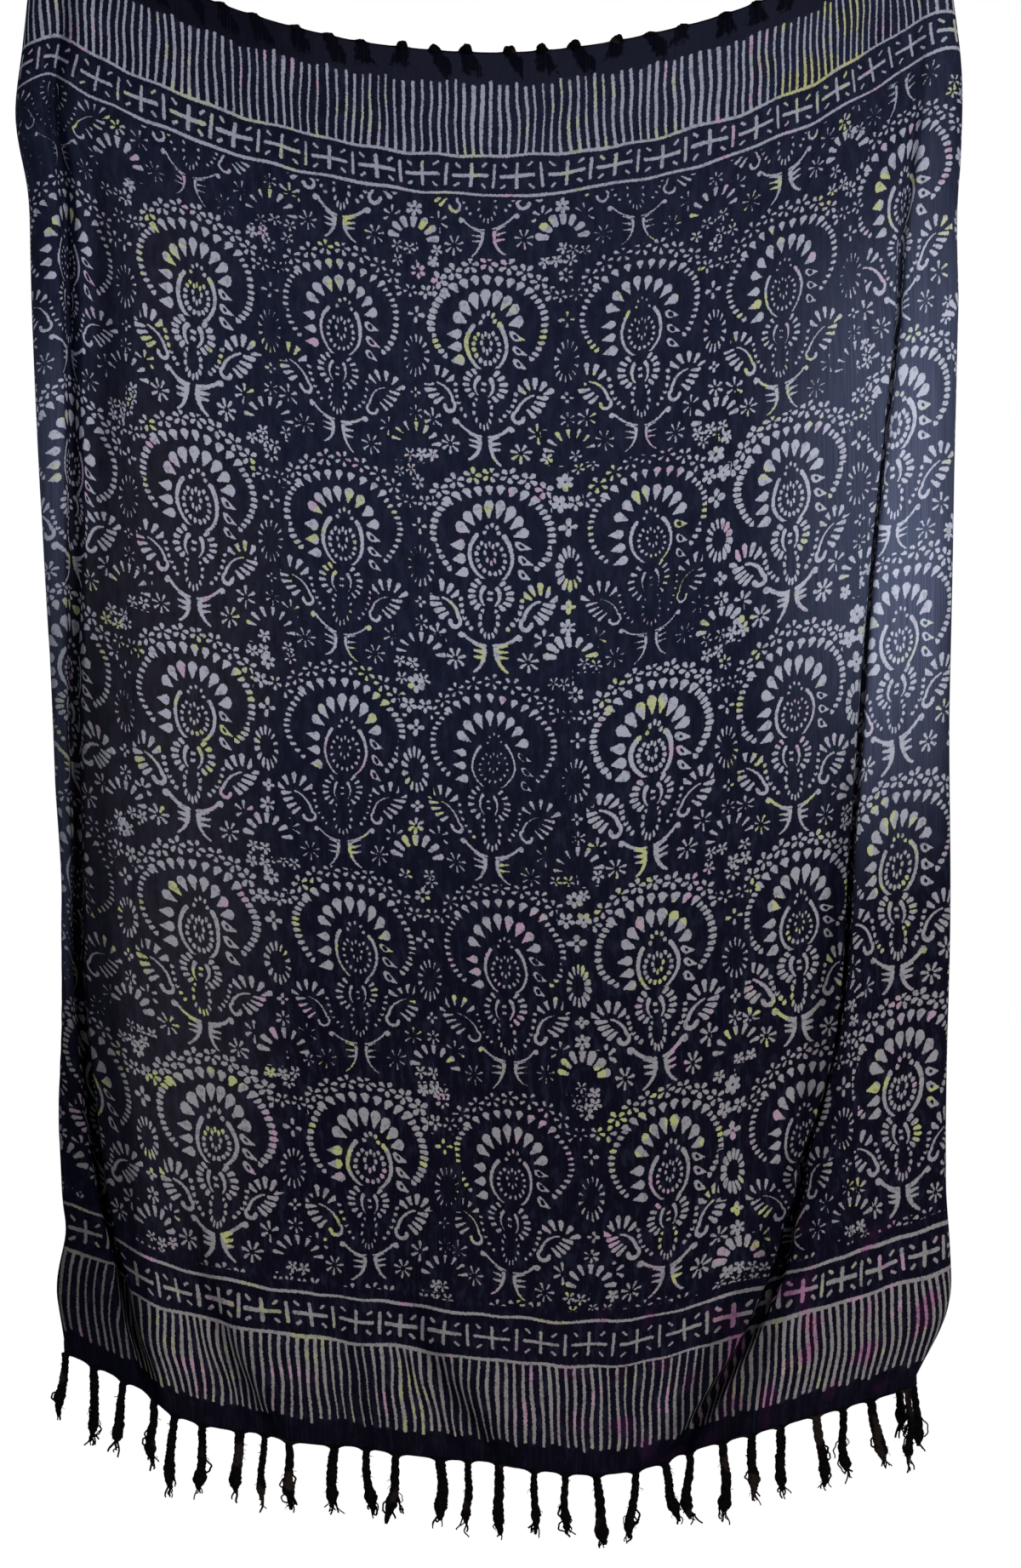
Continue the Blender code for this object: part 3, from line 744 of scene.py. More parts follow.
depth = most(depth, strokeAt(combined(abs(x), y), stem, away, lowered, isBelow))
beads = combined(away, abs(lowered - strokes["beadHeight"]))
for marks, name in ((beads, "bead"), (stem, "knob")):
    distance = lengthOf(vectorCalc("SUBTRACT", marks, strokes[name]))
    depth = most(depth, strokes[name + "Size"] - distance)
finishGroup(figureMark, most(depth, scatteredStars(place, given["Shear"])))

# the cross border, its two lines and the stripes beyond it, in millimetres
crosses = {
    "half": 25.875, "arm": 18, "post": 11.0, "thick": 2.2, "bar": 10.5, "barThick": 2.0,
    "dash": (14.6, 10.4, 0), "dashLong": 2.2, "dashThick": 1.7, "line": 1.9,
}
dashWay = (0.78, 0.62, 0)
stripes = {"pitch": 9.45, "half": 1.6, "uneven": 0.6, "slip": 1.2, "ragged": 6.0, "short": 4.0}


def barTo(corner, end, stretch):  # a round-ended bar from its end, back the way of the stretch
    away = vectorCalc("MAXIMUM", vectorCalc("SUBTRACT", corner, end), stretch)
    return crosses["thick"] - lengthOf(away)


borderMark, given = newGroup("borderMark", (), ("Across", "Beyond", "Half", "Reach", "Slip"))
across, beyond = given["Across"], given["Beyond"]
rise = abs(beyond)
spread = abs(calc("WRAP", across + given["Slip"], crosses["half"], -crosses["half"]))
corner = combined(spread, rise)
level = barTo(corner, (crosses["arm"], 0, 0), (0, -outOfReach, 0))
level = most(level, barTo(corner, (0, crosses["post"], 0), (-outOfReach, 0, 0)))
bars = vectorCalc("SUBTRACT", (crosses["half"], crosses["bar"], 0), corner)
bars = vectorCalc("MINIMUM", bars, (outOfReach, 0, 0))
level = most(level, crosses["barThick"] - lengthOf(bars))
dashes = vectorCalc("SUBTRACT", corner, crosses["dash"])
slide = limited(vectorCalc("DOT_PRODUCT", dashes, dashWay), -crosses["dashLong"], crosses["dashLong"])
slid = vectorCalc("MULTIPLY", combined(slide, slide), dashWay)
level = most(level, crosses["dashThick"] - lengthOf(vectorCalc("SUBTRACT", dashes, slid)))
level = most(level, crosses["line"] - abs(rise - given["Half"]))
number = rounded(across / stripes["pitch"])
tipChance, slipChance, widthChance = separated(whiteNoise(number, "1D")[1])
tip = tipChance * stripes["ragged"] + (given["Reach"] - stripes["short"])
stripe = number * -stripes["pitch"] + across
stripe = slipChance * stripes["slip"] + (stripe - stripes["slip"] / 2)
ends = combined(stripe, most(beyond - tip, 0.0))
stripe = widthChance * stripes["uneven"] + stripes["half"] - lengthOf(ends)
stripe = least(stripe, beyond - given["Half"])
finishGroup(borderMark, most(level, stripe))


def newMaterial(name):
    made = bpy.data.materials.new(name)
    made.use_nodes = True
    return made, made.node_tree.nodes["Principled BSDF"]


def fromNode(shader, kind, output, **settings):
    made = shader.id_data.nodes.new(kind)
    for name, value in settings.items():
        setattr(made, name, value)
    return Wire(made.outputs[output])


def finishLook(shader, colour, roughness, shine=0.5):
    setSocket(shader.inputs["Base Color"], colour)
    shader.inputs["Roughness"].default_value = roughness
    shader.inputs["Specular IOR Level"].default_value = shine


def addRelief(shader, height, strength, distance):
    values = {"Strength": strength, "Distance": distance, "Height": height}
    setSocket(shader.inputs["Normal"], addNode("ShaderNodeBump", values))


# colours of the print, cloth and yarn, with some that are painted light: a painted sheen, a painted tassel
# shadow and painted fold shade
swatches = {  # 0 to 255
    "navy": (20, 24, 41), "night": (8, 7, 20), "brownish": (29, 28, 36), "deepBlue": (9, 9, 25),
    "lightFleck": (38, 41, 60), "darkFleck": (8, 8, 22), "bandSide": (9, 8, 19),
    "bandMiddle": (21, 22, 34), "hemBand": (5, 3, 9), "behind": (1, 1, 8), "slub": (32, 33, 48),
    "stained": (38, 14, 38), "lit": (80, 87, 112), "paintedShade": (0, 0, 6),
    "waxTop": (130, 132, 146), "wax": (150, 152, 166), "waxLow": (130, 128, 133),
    "waxHem": (120, 115, 114), "yellow": (166, 171, 88), "pink": (170, 124, 154),
    "pinkStain": (140, 72, 124), "yellowStain": (158, 157, 76), "waxLit": (188, 195, 214),
    "yarnDark": (1, 1, 3), "yarn": (9, 7, 9), "yarnLight": (24, 19, 20), "yarnFaded": (46, 35, 31),
}
# each fades in from its first place to its second; a number measures across, away from it
zones = {
    "fullBorder": (("across", 0.78, 1.00),),
    "stain": (("down", 1.24, 1.36), ("across", 0.50, 0.75)),
    "yellowStain": (("down", 0.150, 0.120), (0.955, 0.100, 0.040)),
    "paintedSheen": (("past", 0.000, 0.016), ("down", 0.04, 0.72), ("down", 1.02, 0.62), ("across", 1.150, 1.095)),
    "sheen": (("across", 0.84, 1.00), ("down", 0.20, 0.45), ("down", 0.92, 0.60)),
    "leftRim": (("across", 0.090, 0.070), ("down", 0.35, 0.55), ("down", 1.20, 0.95)),
    "deeper": (("down", 0.45, 1.15),),
    "topLeft": (("down", 0.26, 0.08), ("across", 0.75, 0.30)),
    "bandMiddle": (("across", 0.30, 0.48), ("across", 1.10, 0.85)),
    "behind": (("down", 0.038, 0.030),),
    "paler": (("down", 0.05, 0.42),), "greyer": (("down", 0.62, 1.10),), "duller": (("down", 1.25, 1.45),),
    # the next five are windows of painted shade along the folds
    "leftFoldShade": (("across", 0.176, 0.150), ("down", 0.45, 0.85)),
    "leftCrease": ((0.112, 0.020, 0.004),),
    "secondCrease": ((0.154, 0.017, 0.003), ("down", 0.14, 0.30)),
    "rightFoldShade": (("pastFold", 0.010, -0.008), ("down", 0.60, 0.90)),
    "pleatWall": (("fromFold", 0.024, 0.010), ("down", 0.95, 1.25)),
}


def dye(name):
    parts = [c / 255 for c in swatches[name]]
    return (*[c / 12.92 if c <= 0.04045 else ((c + 0.055) / 1.055) ** 2.4 for c in parts], 1.0)


def tinted(colour, share, name, strength=1.0):
    return mixed("RGBA", share * strength if strength < 1.0 else share, colour, dye(name))


# how often the grain of cloth and yarn comes in a metre: across and down, or every way
grains = {
    "slubs": (700, 9, 0), "weave": (1500, 500, 0), "mottle": (110, 45, 0), "blotches": 3.2,
    "ragged": 170, "fibres": 900, "yarnTone": 60, "yarnFading": 34,
}
dyedCloth, shader = newMaterial("dyedCloth")
cutPlace = fromNode(shader, "ShaderNodeUVMap", 0, uv_map="cutPlace")
across, down, _ = separated(cutPlace)


def zone(name, **places):
    places.update(across=across, down=down)
    share = None
    for what, start, end in zones[name]:
        place = places[what] if isinstance(what, str) else abs(across - what)
        fade = smoothStep(place, start, end)
        share = fade if share is None else share * fade
    return share


# the figures stand in a straight repeat in millimetres, put down by hand
layout = {
    "pitch": 162.0, "repeat": 220.5, "first": 100.0, "top": 314.0, "rowSplit": 15.25,
    "gapRowSplit": 14.0, "sideLift": 36.0, "liftLength": 1350, "lastShift": 8.0,
    "printTop": 156.0, "printFoot": 1329.0, "lastColumn": 5.5, "firstColumn": 0.5,
}
handShift = {"wander": 6, "wanderScale": 22, "figure": 6, "gapAcross": 8, "gapDown": 10}
seeds = {"figure": 3.7, "gap": 9.2, "wax": 15280.1}
shearing = {"varies": 0.30, "least": -0.13}
boldness = {"least": -0.66, "cutRow": -0.42, "gapVaries": 3.2, "gapLeast": -1.7, "gapMost": -0.3}
borders = {  # at the top and at the hem
    "middle": (-131.0, 1363.5), "half": (20.0, 23.5), "reach": (97.0, 110.5), "slip": 5.5, "fuller": 0.55,
    "lowFrom": 750.0,
}


def figurePrint(acrossMm, downMm):
    pitch, repeat, first, top = (layout[name] for name in ("pitch", "repeat", "first", "top"))
    columnPlace = acrossMm * (1 / pitch) - first / pitch
    column = rounded(columnPlace)
    isLast = column > layout["lastColumn"]
    lift = downMm * (-layout["sideLift"] / layout["liftLength"]) + layout["sideLift"]
    downFigure = downMm + lift * (isLast - (column < layout["firstColumn"]))
    row = rounded(downFigure * (1 / repeat) - (top + layout["rowSplit"]) / repeat)
    chance, colour = whiteNoise(combined(column, row, seeds["figure"]))
    figureX = isLast * layout["lastShift"] + (column * -pitch + acrossMm - first)
    figureY = row * -repeat + downFigure - top
    shift = shaken(colour, handShift["figure"], handShift["figure"])
    placed = vectorCalc("ADD", combined(figureX, figureY), shift)
    # in one step, because the scattered stars draw on its exact value
    shear = calc("MULTIPLY_ADD", chance, shearing["varies"], shearing["least"])

    gapColumn = calc("FLOOR", columnPlace)
    gapRow = rounded(downMm * (1 / repeat) - (top + layout["gapRowSplit"]) / repeat)
    gapChance, gapColour = whiteNoise(combined(gapColumn, gapRow, seeds["gap"]))
    gapX = gapColumn * -pitch + acrossMm - (first + 0.5 * pitch)
    gapY = gapRow * -repeat + downMm - top
    gapShift = shaken(gapColour, handShift["gapAcross"], handShift["gapDown"])
    gapPlaced = vectorCalc("ADD", combined(gapX, gapY), gapShift)
    gapBold = most(gapChance * boldness["gapVaries"] + boldness["gapLeast"], boldness["gapMost"])

    depth = useGroup(figureMark, Place=placed, Shear=shear, GapPlace=gapPlaced, GapBold=gapBold)
    inFigure = least(downMm - layout["printTop"], layout["printFoot"] - downMm)
    taken = whiteNoise(combined(column, row, seeds["wax"]))[0] + boldness["least"]
    taken = (row < -0.5) * boldness["cutRow"] + taken  # the row cut off by the border took little wax
    return least(depth, inFigure) + taken, inFigure


def borderPrint(acrossMm, downMm):
    isLow = downMm > borders["lowFrom"]
    middle, half, reach = (
        isLow * (hem - top) + top for top, hem in (borders[name] for name in ("middle", "half", "reach")))
    beyond = downMm * (isLow * 2.0 - 1.0) - middle
    border = useGroup(
        borderMark, Across=acrossMm, Beyond=beyond, Half=half, Reach=reach, Slip=borders["slip"])
    return isLow * zone("fullBorder") * borders["fuller"] + border


# wax takes unevenly: frayed rims and worn patches
waxing = {
    "frayScale": 420, "fray": 2.0, "bare": 1.40, "patchScale": 9, "patch": 1.8, "rim": 0.45,
    "wornScale": 150, "wornFrom": 0.28, "wornTo": 0.45, "worn": 0.30,
}


def waxCover(depth):
    frayed = noise(cutPlace, waxing["frayScale"], 1.0, 0.6) * waxing["fray"] + (depth - waxing["bare"])
    frayed = (noise(cutPlace, waxing["patchScale"], 1.0, 0.6) - 0.5) * waxing["patch"] + frayed
    worn = noise(cutPlace, waxing["wornScale"], 1.0, 0.7)
    worn = smoothStep(worn, waxing["wornFrom"], waxing["wornTo"])
    cover = smoothStep(frayed, -waxing["rim"], waxing["rim"])
    return cover * (worn * waxing["worn"] + (1 - waxing["worn"]))


# small dabs and wide stains of leftover dye
leftover = {
    "dabScale": 70, "zoneScale": 11, "yellowZone": 0.5, "yellow": (1.16, 1.22), "yellowFull": 0.62,
    "yellowInBorder": -0.34, "pinkZone": -0.35, "pink": (0.78, 0.84), "pinkFull": 0.5,
    "stainScale": 21, "stain": (0.56, 0.70), "yellowStainScale": 24, "yellowStain": (0.46, 0.62),
}


def leftoverDye(inFigure):
    values = {"Vector": cutPlace, "Scale": leftover["dabScale"]}
    dabs = addNode("ShaderNodeTexVoronoi", values, "Color", voronoi_dimensions="2D")
    yellowChance, pinkChance, _ = separated(dabs)
    dabZone = noise(cutPlace, leftover["zoneScale"], 0.0)
    inBorder = smoothStep(inFigure, 3.0, -3.0)
    yellow = smoothStep(dabZone * leftover["yellowZone"] + yellowChance, *leftover["yellow"])
    yellow = yellow * (inBorder * leftover["yellowInBorder"] + leftover["yellowFull"])
    pink = smoothStep(dabZone * leftover["pinkZone"] + pinkChance, *leftover["pink"]) * leftover["pinkFull"]
    stain, yellowStain = (
        smoothStep(noise(cutPlace, leftover[name + "Scale"]), *leftover[name]) * zone(name)
        for name in ("stain", "yellowStain"))
    return yellow, pink, stain, yellowStain


# painted sheen: where the light catches the cloth by the right-hand fold, and a little by the left edge,
# painted into the colour
def caughtLight(slubs):
    past = across - (down * -0.110 + 1.102)
    paintedSheen = most(zone("paintedSheen", past=past), zone("sheen") * 0.5)
    paintedSheen = most(paintedSheen, zone("leftRim") * 0.45)
    return paintedSheen * (slubs * 1.1 + 0.30)


# a browner patch, flecks and a deeper upper left
brownPatch = {"across": (0.20, 0.16), "down": (0.80, 0.55), "ragged": -0.9, "from": 0.75, "to": 0.05}


def groundColour():
    ground = mixed("RGBA", zone("deeper"), dye("navy"), dye("night"))
    (atX, wide), (atY, tall) = brownPatch["across"], brownPatch["down"]
    away = lengthOf(combined(across * (1 / wide) - atX / wide, down * (1 / tall) - atY / tall))
    ragged = noise(cutPlace, grains["blotches"]) * brownPatch["ragged"] + away
    ground = tinted(ground, smoothStep(ragged, brownPatch["from"], brownPatch["to"]), "brownish")
    ground = tinted(ground, zone("topLeft"), "deepBlue", 0.7)
    mottle = noise(vectorCalc("MULTIPLY", cutPlace, grains["mottle"]), 1.0, 2.0, 0.65)
    ground = tinted(ground, smoothStep(mottle, 0.45, 0.80), "lightFleck", 0.35)
    return tinted(ground, smoothStep(mottle, 0.52, 0.25), "darkFleck", 0.40)


# painted shadow: the turned-over tassels show through the sheer plain band at the top, as dark marks
# painted into its colour
plainBands = {"top": 34.0, "hem": 1474.0, "blur": 2.0}
shadow = {
    "lean": 1.2, "leanLeast": -0.25, "length": 0.010, "varies": 0.014, "ragged": 0.014,
    "half": 0.0030, "raggedHalf": 0.008, "widens": 0.0035, "widening": (0.002, 0.020),
    "side": (0.0022, -0.0014), "end": (0.004, -0.003),
}


def tasselShadow():
    number = calc("FLOOR", across * (1 / tasselPitch))
    wave = calc("SINE", number * 2.1 + 1.0)
    place = wave * tassels["wander"] + (number + 0.5)
    chance = whiteNoise(number, "1D")[0]
    leans = down * (chance * shadow["lean"] + shadow["leanLeast"])
    beside = abs(place * -tasselPitch + across - leans)
    ragged = noise(cutPlace, grains["ragged"])
    hangs = ragged * shadow["ragged"] + (chance * shadow["varies"] + shadow["length"])
    half = ragged * shadow["raggedHalf"] + shadow["half"]
    half = smoothStep(down, *shadow["widening"]) * shadow["widens"] + half
    shade = smoothStep(beside - half, *shadow["side"]) * smoothStep(down - hangs, *shadow["end"])
    return shade * zone("behind")


def bandColours(ground, downMm):
    band = most(plainBands["top"] - downMm, downMm - plainBands["hem"])
    band = smoothStep(band, -plainBands["blur"], plainBands["blur"])
    topBand = band * (down < 0.5)
    bandShade = mixed("RGBA", zone("bandMiddle"), dye("bandSide"), dye("bandMiddle"))
    ground = mixed("RGBA", topBand * 0.85, ground, bandShade)
    ground = tinted(ground, band - topBand, "hemBand", 0.6)
    return tinted(ground, tasselShadow(), "behind", 0.95)


def waxColour(yellow, pink, stain, yellowStain, paintedSheen):
    pale = mixed("RGBA", zone("paler"), dye("waxTop"), dye("wax"))
    pale = tinted(pale, zone("greyer"), "waxLow")
    pale = tinted(pale, zone("duller"), "waxHem")
    pale = tinted(pale, yellow, "yellow")
    pale = tinted(pale, pink, "pink")
    pale = tinted(pale, stain, "pinkStain", 0.60)
    pale = tinted(pale, yellowStain, "yellowStain", 0.65)
    # the painted sheen lightens the wax as well
    return tinted(pale, paintedSheen, "waxLit", 0.8)


# painted shade: deeper colour in the shelter of the folds, standing in for the shade they cast
def paintedFoldShade():
    foldShade = zone("leftFoldShade") * 0.62
    foldLine = least(down * -0.15 + 1.120, down * -0.47 + 1.504)
    fromFold = abs(across - foldLine)
    pastFold = fromFold - (down * 0.055 - 0.02)
    for name, strength in (("leftCrease", 0.35), ("secondCrease", 0.42), ("rightFoldShade", 0.45),
                           ("pleatWall", 0.80)):
        foldShade = most(foldShade, zone(name, pastFold=pastFold, fromFold=fromFold) * strength)
    return foldShade


wander = noise(cutPlace, handShift["wanderScale"], 0.0, output="Color")
wander = shaken(wander, handShift["wander"], handShift["wander"])
acrossMm, downMm, _ = separated(vectorCalc("MULTIPLY_ADD", cutPlace, (1000, 1000, 0), wander))
slubs = noise(vectorCalc("MULTIPLY", cutPlace, grains["slubs"]), 1.0, 1.0, 0.6)
depth, inFigure = figurePrint(acrossMm, downMm)
wax = waxCover(most(depth, borderPrint(acrossMm, downMm)))
yellow, pink, stain, yellowStain = leftoverDye(inFigure)
paintedSheen = caughtLight(slubs)
ground = bandColours(groundColour(), downMm)
ground = tinted(ground, smoothStep(slubs, 0.50, 0.95), "slub", 0.4)
ground = tinted(ground, stain, "stained", 0.4)
# painted sheen on the ground by the right-hand fold and the left edge
ground = tinted(ground, paintedSheen, "lit")
# the print over the ground, with the painted sheen and the painted tassel shadow in it
printAndPaintedLight = mixed("RGBA", wax, ground, waxColour(yellow, pink, stain, yellowStain, paintedSheen))
# the painted shade of the folds darkens the finished colour
finishLook(shader, tinted(printAndPaintedLight, paintedFoldShade(), "paintedShade"), 0.62, 0.02)
weave = noise(vectorCalc("MULTIPLY", cutPlace, grains["weave"]), 1.0)
addRelief(shader, weave, 0.25, 0.0004)

print("cloth")
edgeRow = 0.004
rowPlaces = np.linspace(cut["straightEdge"], cut["length"] - cut["straightEdge"], grid["rows"] - 4)
downs = np.concatenate(([0.0, edgeRow], rowPlaces, [cut["length"] - edgeRow, cut["length"]]))
rows = sheetRows(downs)
for rowDown, (steps, points) in zip(downs, rows):
    rim = max(0.0, 1 - min(rowDown, cut["length"] - rowDown) / gather["rim"])
    side = math.copysign(gather["depth"], rowDown - cut["length"] / 2)
    points[:, 2] -= side * rim ** 2 * (drawnIn(steps) - gather["level"])
cloth = addSheet("clothPanel", downs, rows, cut["wall"])
cloth.data.materials.append(dyedCloth)
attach(cloth, "root")
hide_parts("cloth_panel")

print("fringes")
fringeYarn, shader = newMaterial("fringeYarn")
coords = fromNode(shader, "ShaderNodeTexCoord", "Object")
fibres = noise(coords, grains["fibres"], 1.0, 0.6, flat=False)
tone = noise(coords, grains["yarnTone"], 0.0, flat=False)
yarn = mixed("RGBA", tone, dye("yarnDark"), dye("yarn"))
yarn = tinted(yarn, smoothStep(fibres, 0.55, 0.80), "yarnLight")
faded = smoothStep(noise(coords, grains["yarnFading"], 0.0, flat=False), 0.62, 0.72)
finishLook(shader, tinted(yarn, faded, "yarnFaded", 0.45), 0.85, 0.02)
addRelief(shader, fibres, 0.5, 0.0006)

# a pair is the least and the most of a random draw
rope = {
    "steps": 40, "kink": 0.0030, "waves": (3, 8), "phase": (0, 6), "knot": (0.66, 0.86),
    "plies": 3, "radius": 0.0032, "wind": 0.0022, "turns": 4.2, "turning": (0.6, 1.2), "wobble": 0.8,
    "body": (0.72, 1.05), "thicker": (0.10, 0.42), "swell": (0.10, 0.40), "swellSpan": (0.05, 0.10),
    "thins": 0.70, "belowKnot": 0.06, "lumps": 0.14, "lumpWaves": (8, 20), "rough": 0.03,
}
knotTurn = {
    "number": 2, "points": 12, "around": 1.1, "tilt": (-0.5, 0.5), "out": 0.0036, "wider": 0.0006,
    "apart": 0.0028, "slant": 0.002, "radius": 0.0018,
}
cutEnd = {
    "number": (4, 8), "steps": 14, "below": 6, "reach": (0.010, 0.021), "aside": 0.22, "behind": 0.15,
    "waves": (3, 8), "curl": (0.0010, 0.0042), "radius": 0.00125, "thins": 0.25, "size": (0.6, 1.2),
}
looseYarn = {
    "number": (0, 4), "steps": 18, "from": 0.35, "to": 0.80, "reach": (0.20, 0.42), "out": (0.004, 0.010),
    "back": (0.75, 1.2), "shake": 0.0006, "sway": 0.0018, "radius": 0.0009, "size": (0.6, 1.3),
}
partedLeg = {
    "chance": 0.28, "number": (2, 5), "steps": 16, "from": 0.40, "to": 0.62, "out": (0.006, 0.012),
    "reach": (0.34, 0.48), "swing": (0.6, 1.1), "length": (0.8, 1.05), "shake": 0.0008,
    "radius": 0.0012, "thins": 0.3, "size": (0.7, 1.2),
}
frizz = {
    "number": (6, 11), "steps": 7, "from": 0.06, "to": 0.98, "flat": 0.6, "reach": (0.002, 0.006),
    "run": (-0.2, 1.6), "out": 0.003, "bend": (1.2, 3.0), "radius": 0.00032, "thickRoot": 1.3,
}
rng = np.random.default_rng(11)


def drawn(settings, name):
    return rng.uniform(*settings[name])


def numberOf(settings):
    return range(int(rng.integers(*settings["number"])))


def newCurve(name):
    curve = bpy.data.curves.new(name, "CURVE")
    curve.dimensions = "3D"
    curve.bevel_depth = 1.0
    curve.bevel_resolution = 1
    curve.use_fill_caps = True
    return curve


def addStrand(curve, points, radii):
    spline = curve.splines.new("POLY")
    spline.points.add(len(points) - 1)
    spline.points.foreach_set("co", np.c_[points, np.ones(len(points))].ravel())
    spline.points.foreach_set("radius", np.asarray(radii, float))


def ropePath(line):  # its places, and the ways along it, to its side and behind it
    along = np.gradient(line, axis=0)
    along /= np.linalg.norm(along, axis=1)[:, None]
    side = np.cross(along, (0.0, 1.0, 0.0))
    side /= np.linalg.norm(side, axis=1)[:, None] + 1e-9
    return line, along, side, np.cross(side, along)


def addFrom(curve, path, start, along, aside, behind, radii):
    place, alongWay, sideWay, behindWay = (part[start] for part in path)
    points = place + alongWay * along[:, None] + sideWay * aside[:, None] + behindWay * behind[:, None]
    addStrand(curve, points, radii)


def startOf(settings, free, count):
    return int(rng.uniform(max(free, settings["from"]), settings["to"]) * (count - 1))


def addPlies(curve, path, knot):
    share = np.linspace(0, 1, len(path[0]))
    body = drawn(rope, "body") + drawn(rope, "thicker") * share ** 1.2
    swell = drawn(rope, "swell") * np.exp(-((share - knot) / drawn(rope, "swellSpan")) ** 2)
    below = knot + rope["belowKnot"]
    size = (body + swell) * (1 - rope["thins"] * np.clip((share - below) / (1 - below), 0, 1))
    phase = rng.uniform(0, 2 * np.pi)
    turns = rope["turns"] * drawn(rope, "turning")
    for ply in range(rope["plies"]):
        wind = phase + 2 * np.pi * (ply / rope["plies"] + turns * share)
        wind += rope["wobble"] * np.sin(9 * share + phase)
        out = rope["wind"] * size
        lumps = rope["lumps"] * np.sin(share * drawn(rope, "lumpWaves") + drawn(rope, "phase"))
        radii = rope["radius"] * size * (1 + lumps + rope["rough"] * rng.normal(0, 1, len(share)))
        addFrom(curve, path, slice(None), 0 * share, np.cos(wind) * out, np.sin(wind) * out, radii)


def addKnot(curve, path, low):
    for turn in range(knotTurn["number"]):
        around = np.linspace(0, 2 * np.pi * knotTurn["around"], knotTurn["points"]) + drawn(rope, "phase")
        tilt = drawn(knotTurn, "tilt")
        out = knotTurn["out"] + knotTurn["wider"] * turn
        along = knotTurn["apart"] * (turn - 0.5) + knotTurn["slant"] * np.sin(around + tilt)
        radii = np.full(knotTurn["points"], knotTurn["radius"])
        addFrom(curve, path, low, along, np.cos(around) * out, np.sin(around) * out, radii)


def addCutEnds(curve, path, low):
    s = np.linspace(0, 1, cutEnd["steps"])
    for end in numberOf(cutEnd):
        start = min(len(path[0]) - 1, low + int(rng.integers(0, cutEnd["below"])))
        along = drawn(cutEnd, "reach") * s
        aside = cutEnd["aside"] * rng.normal(0, 1) * along
        behind = cutEnd["behind"] * rng.normal(0, 1) * along
        wave = drawn(cutEnd, "waves") * s + drawn(rope, "phase")
        curl = drawn(cutEnd, "curl") * s
        radii = cutEnd["radius"] * (1 - cutEnd["thins"] * s) * drawn(cutEnd, "size")
        addFrom(curve, path, start, along, aside + curl * np.sin(wave), behind + curl * np.cos(wave), radii)


def addLooseYarn(curve, path, length, free):  # it left the twist and turns back or hangs loose
    s = np.linspace(0, 1, looseYarn["steps"])
    for loop in numberOf(looseYarn):
        start = startOf(looseYarn, free, len(path[0]))
        along = length * drawn(looseYarn, "reach") * s ** 0.9
        out = rng.choice((-1, 1)) * drawn(looseYarn, "out")
        bow = np.sin(np.pi * np.clip(s * drawn(looseYarn, "back"), 0, 1))
        aside = out * bow + looseYarn["shake"] * np.sin(17 * s + loop)
        behind = looseYarn["sway"] * np.sin(6 * s + loop)
        radii = np.full(len(s), looseYarn["radius"]) * drawn(looseYarn, "size")
        addFrom(curve, path, start, along, aside, behind, radii)


def addPartedLegs(curve, path, length, free):
    if rng.uniform() > partedLeg["chance"]:
        return
    start = startOf(partedLeg, free, len(path[0]))
    s = np.linspace(0, 1, partedLeg["steps"])
    out = rng.choice((-1, 1)) * drawn(partedLeg, "out")
    reach = length * drawn(partedLeg, "reach")
    for leg in numberOf(partedLeg):
        swing = out * drawn(partedLeg, "swing")
        along = reach * drawn(partedLeg, "length") * s
        aside = swing * s ** 1.1 + partedLeg["shake"] * np.sin(15 * s + 2 * leg)
        radii = partedLeg["radius"] * (1 - partedLeg["thins"] * s) * drawn(partedLeg, "size")
        addFrom(curve, path, start, along, aside, 0 * s, radii)


def addFrizz(curve, path, free):
    s = np.linspace(0, 1, frizz["steps"])
    for strand in numberOf(frizz):
        start = startOf(frizz, free, len(path[0]))
        turn = rng.uniform(0, 2 * np.pi)
        reach = drawn(frizz, "reach")
        along = drawn(frizz, "run") * reach * s
        out = frizz["out"] + reach * np.sin(s * drawn(frizz, "bend"))
        aside, behind = math.cos(turn) * out, frizz["flat"] * math.sin(turn) * out
        addFrom(curve, path, start, along, aside, behind, frizz["radius"] * (frizz["thickRoot"] - s))


def addTassel(curve, line, length, free):  # it hangs free from the share called free
    path = ropePath(line)
    knot = drawn(rope, "knot")
    low = int(knot * (len(line) - 1))
    addPlies(curve, path, knot)
    addKnot(curve, path, low)
    addCutEnds(curve, path, low)
    addLooseYarn(curve, path, length, free)
    addPartedLegs(curve, path, length, free)
    addFrizz(curve, path, free)


def kink(line, axis, bend):
    share = np.linspace(0, 1, len(line))
    line[:, axis] += bend * np.sin(share * drawn(rope, "waves") + drawn(rope, "phase")) * share


def edgePoint(row, across):
    steps, places = row
    beside = 0.1 * tasselPitch
    root, before, after = pointsAt(np.array((across, across - beside, across + beside)), steps, places)
    weft = after - before
    back = np.array((-weft[1], weft[0], 0.0))
    return root, back / np.linalg.norm(back)


def drawnStrip(name, near, far):  # a narrow strip past the edge, drawn in at each root
    downs = np.linspace(min(near, far), max(near, far), 4)
    across, fine = drape(downs)
    steps = np.linspace(0, cut["width"], tassels["count"] * 10 + 1)
    pulled = drawnIn(steps)
    isTop = near < cut["length"] / 2
    inside = cut["straightEdge"] if isTop else cut["length"] - cut["straightEdge"]
    rows = []
    for down, places in zip(downs, fine):
        points = waved(pointsAt(steps, across, places), steps, inside)
        drop = gather["depth"] * (pulled - gather["level"])
        drop -= abs(down - near) * gather["stripPull"] * (1 - pulled)
        points[:, 2] += drop if isTop else -drop
        rows.append((steps, points))
    return addSheet(name, list(downs), rows, gather["stripWall"]), rows


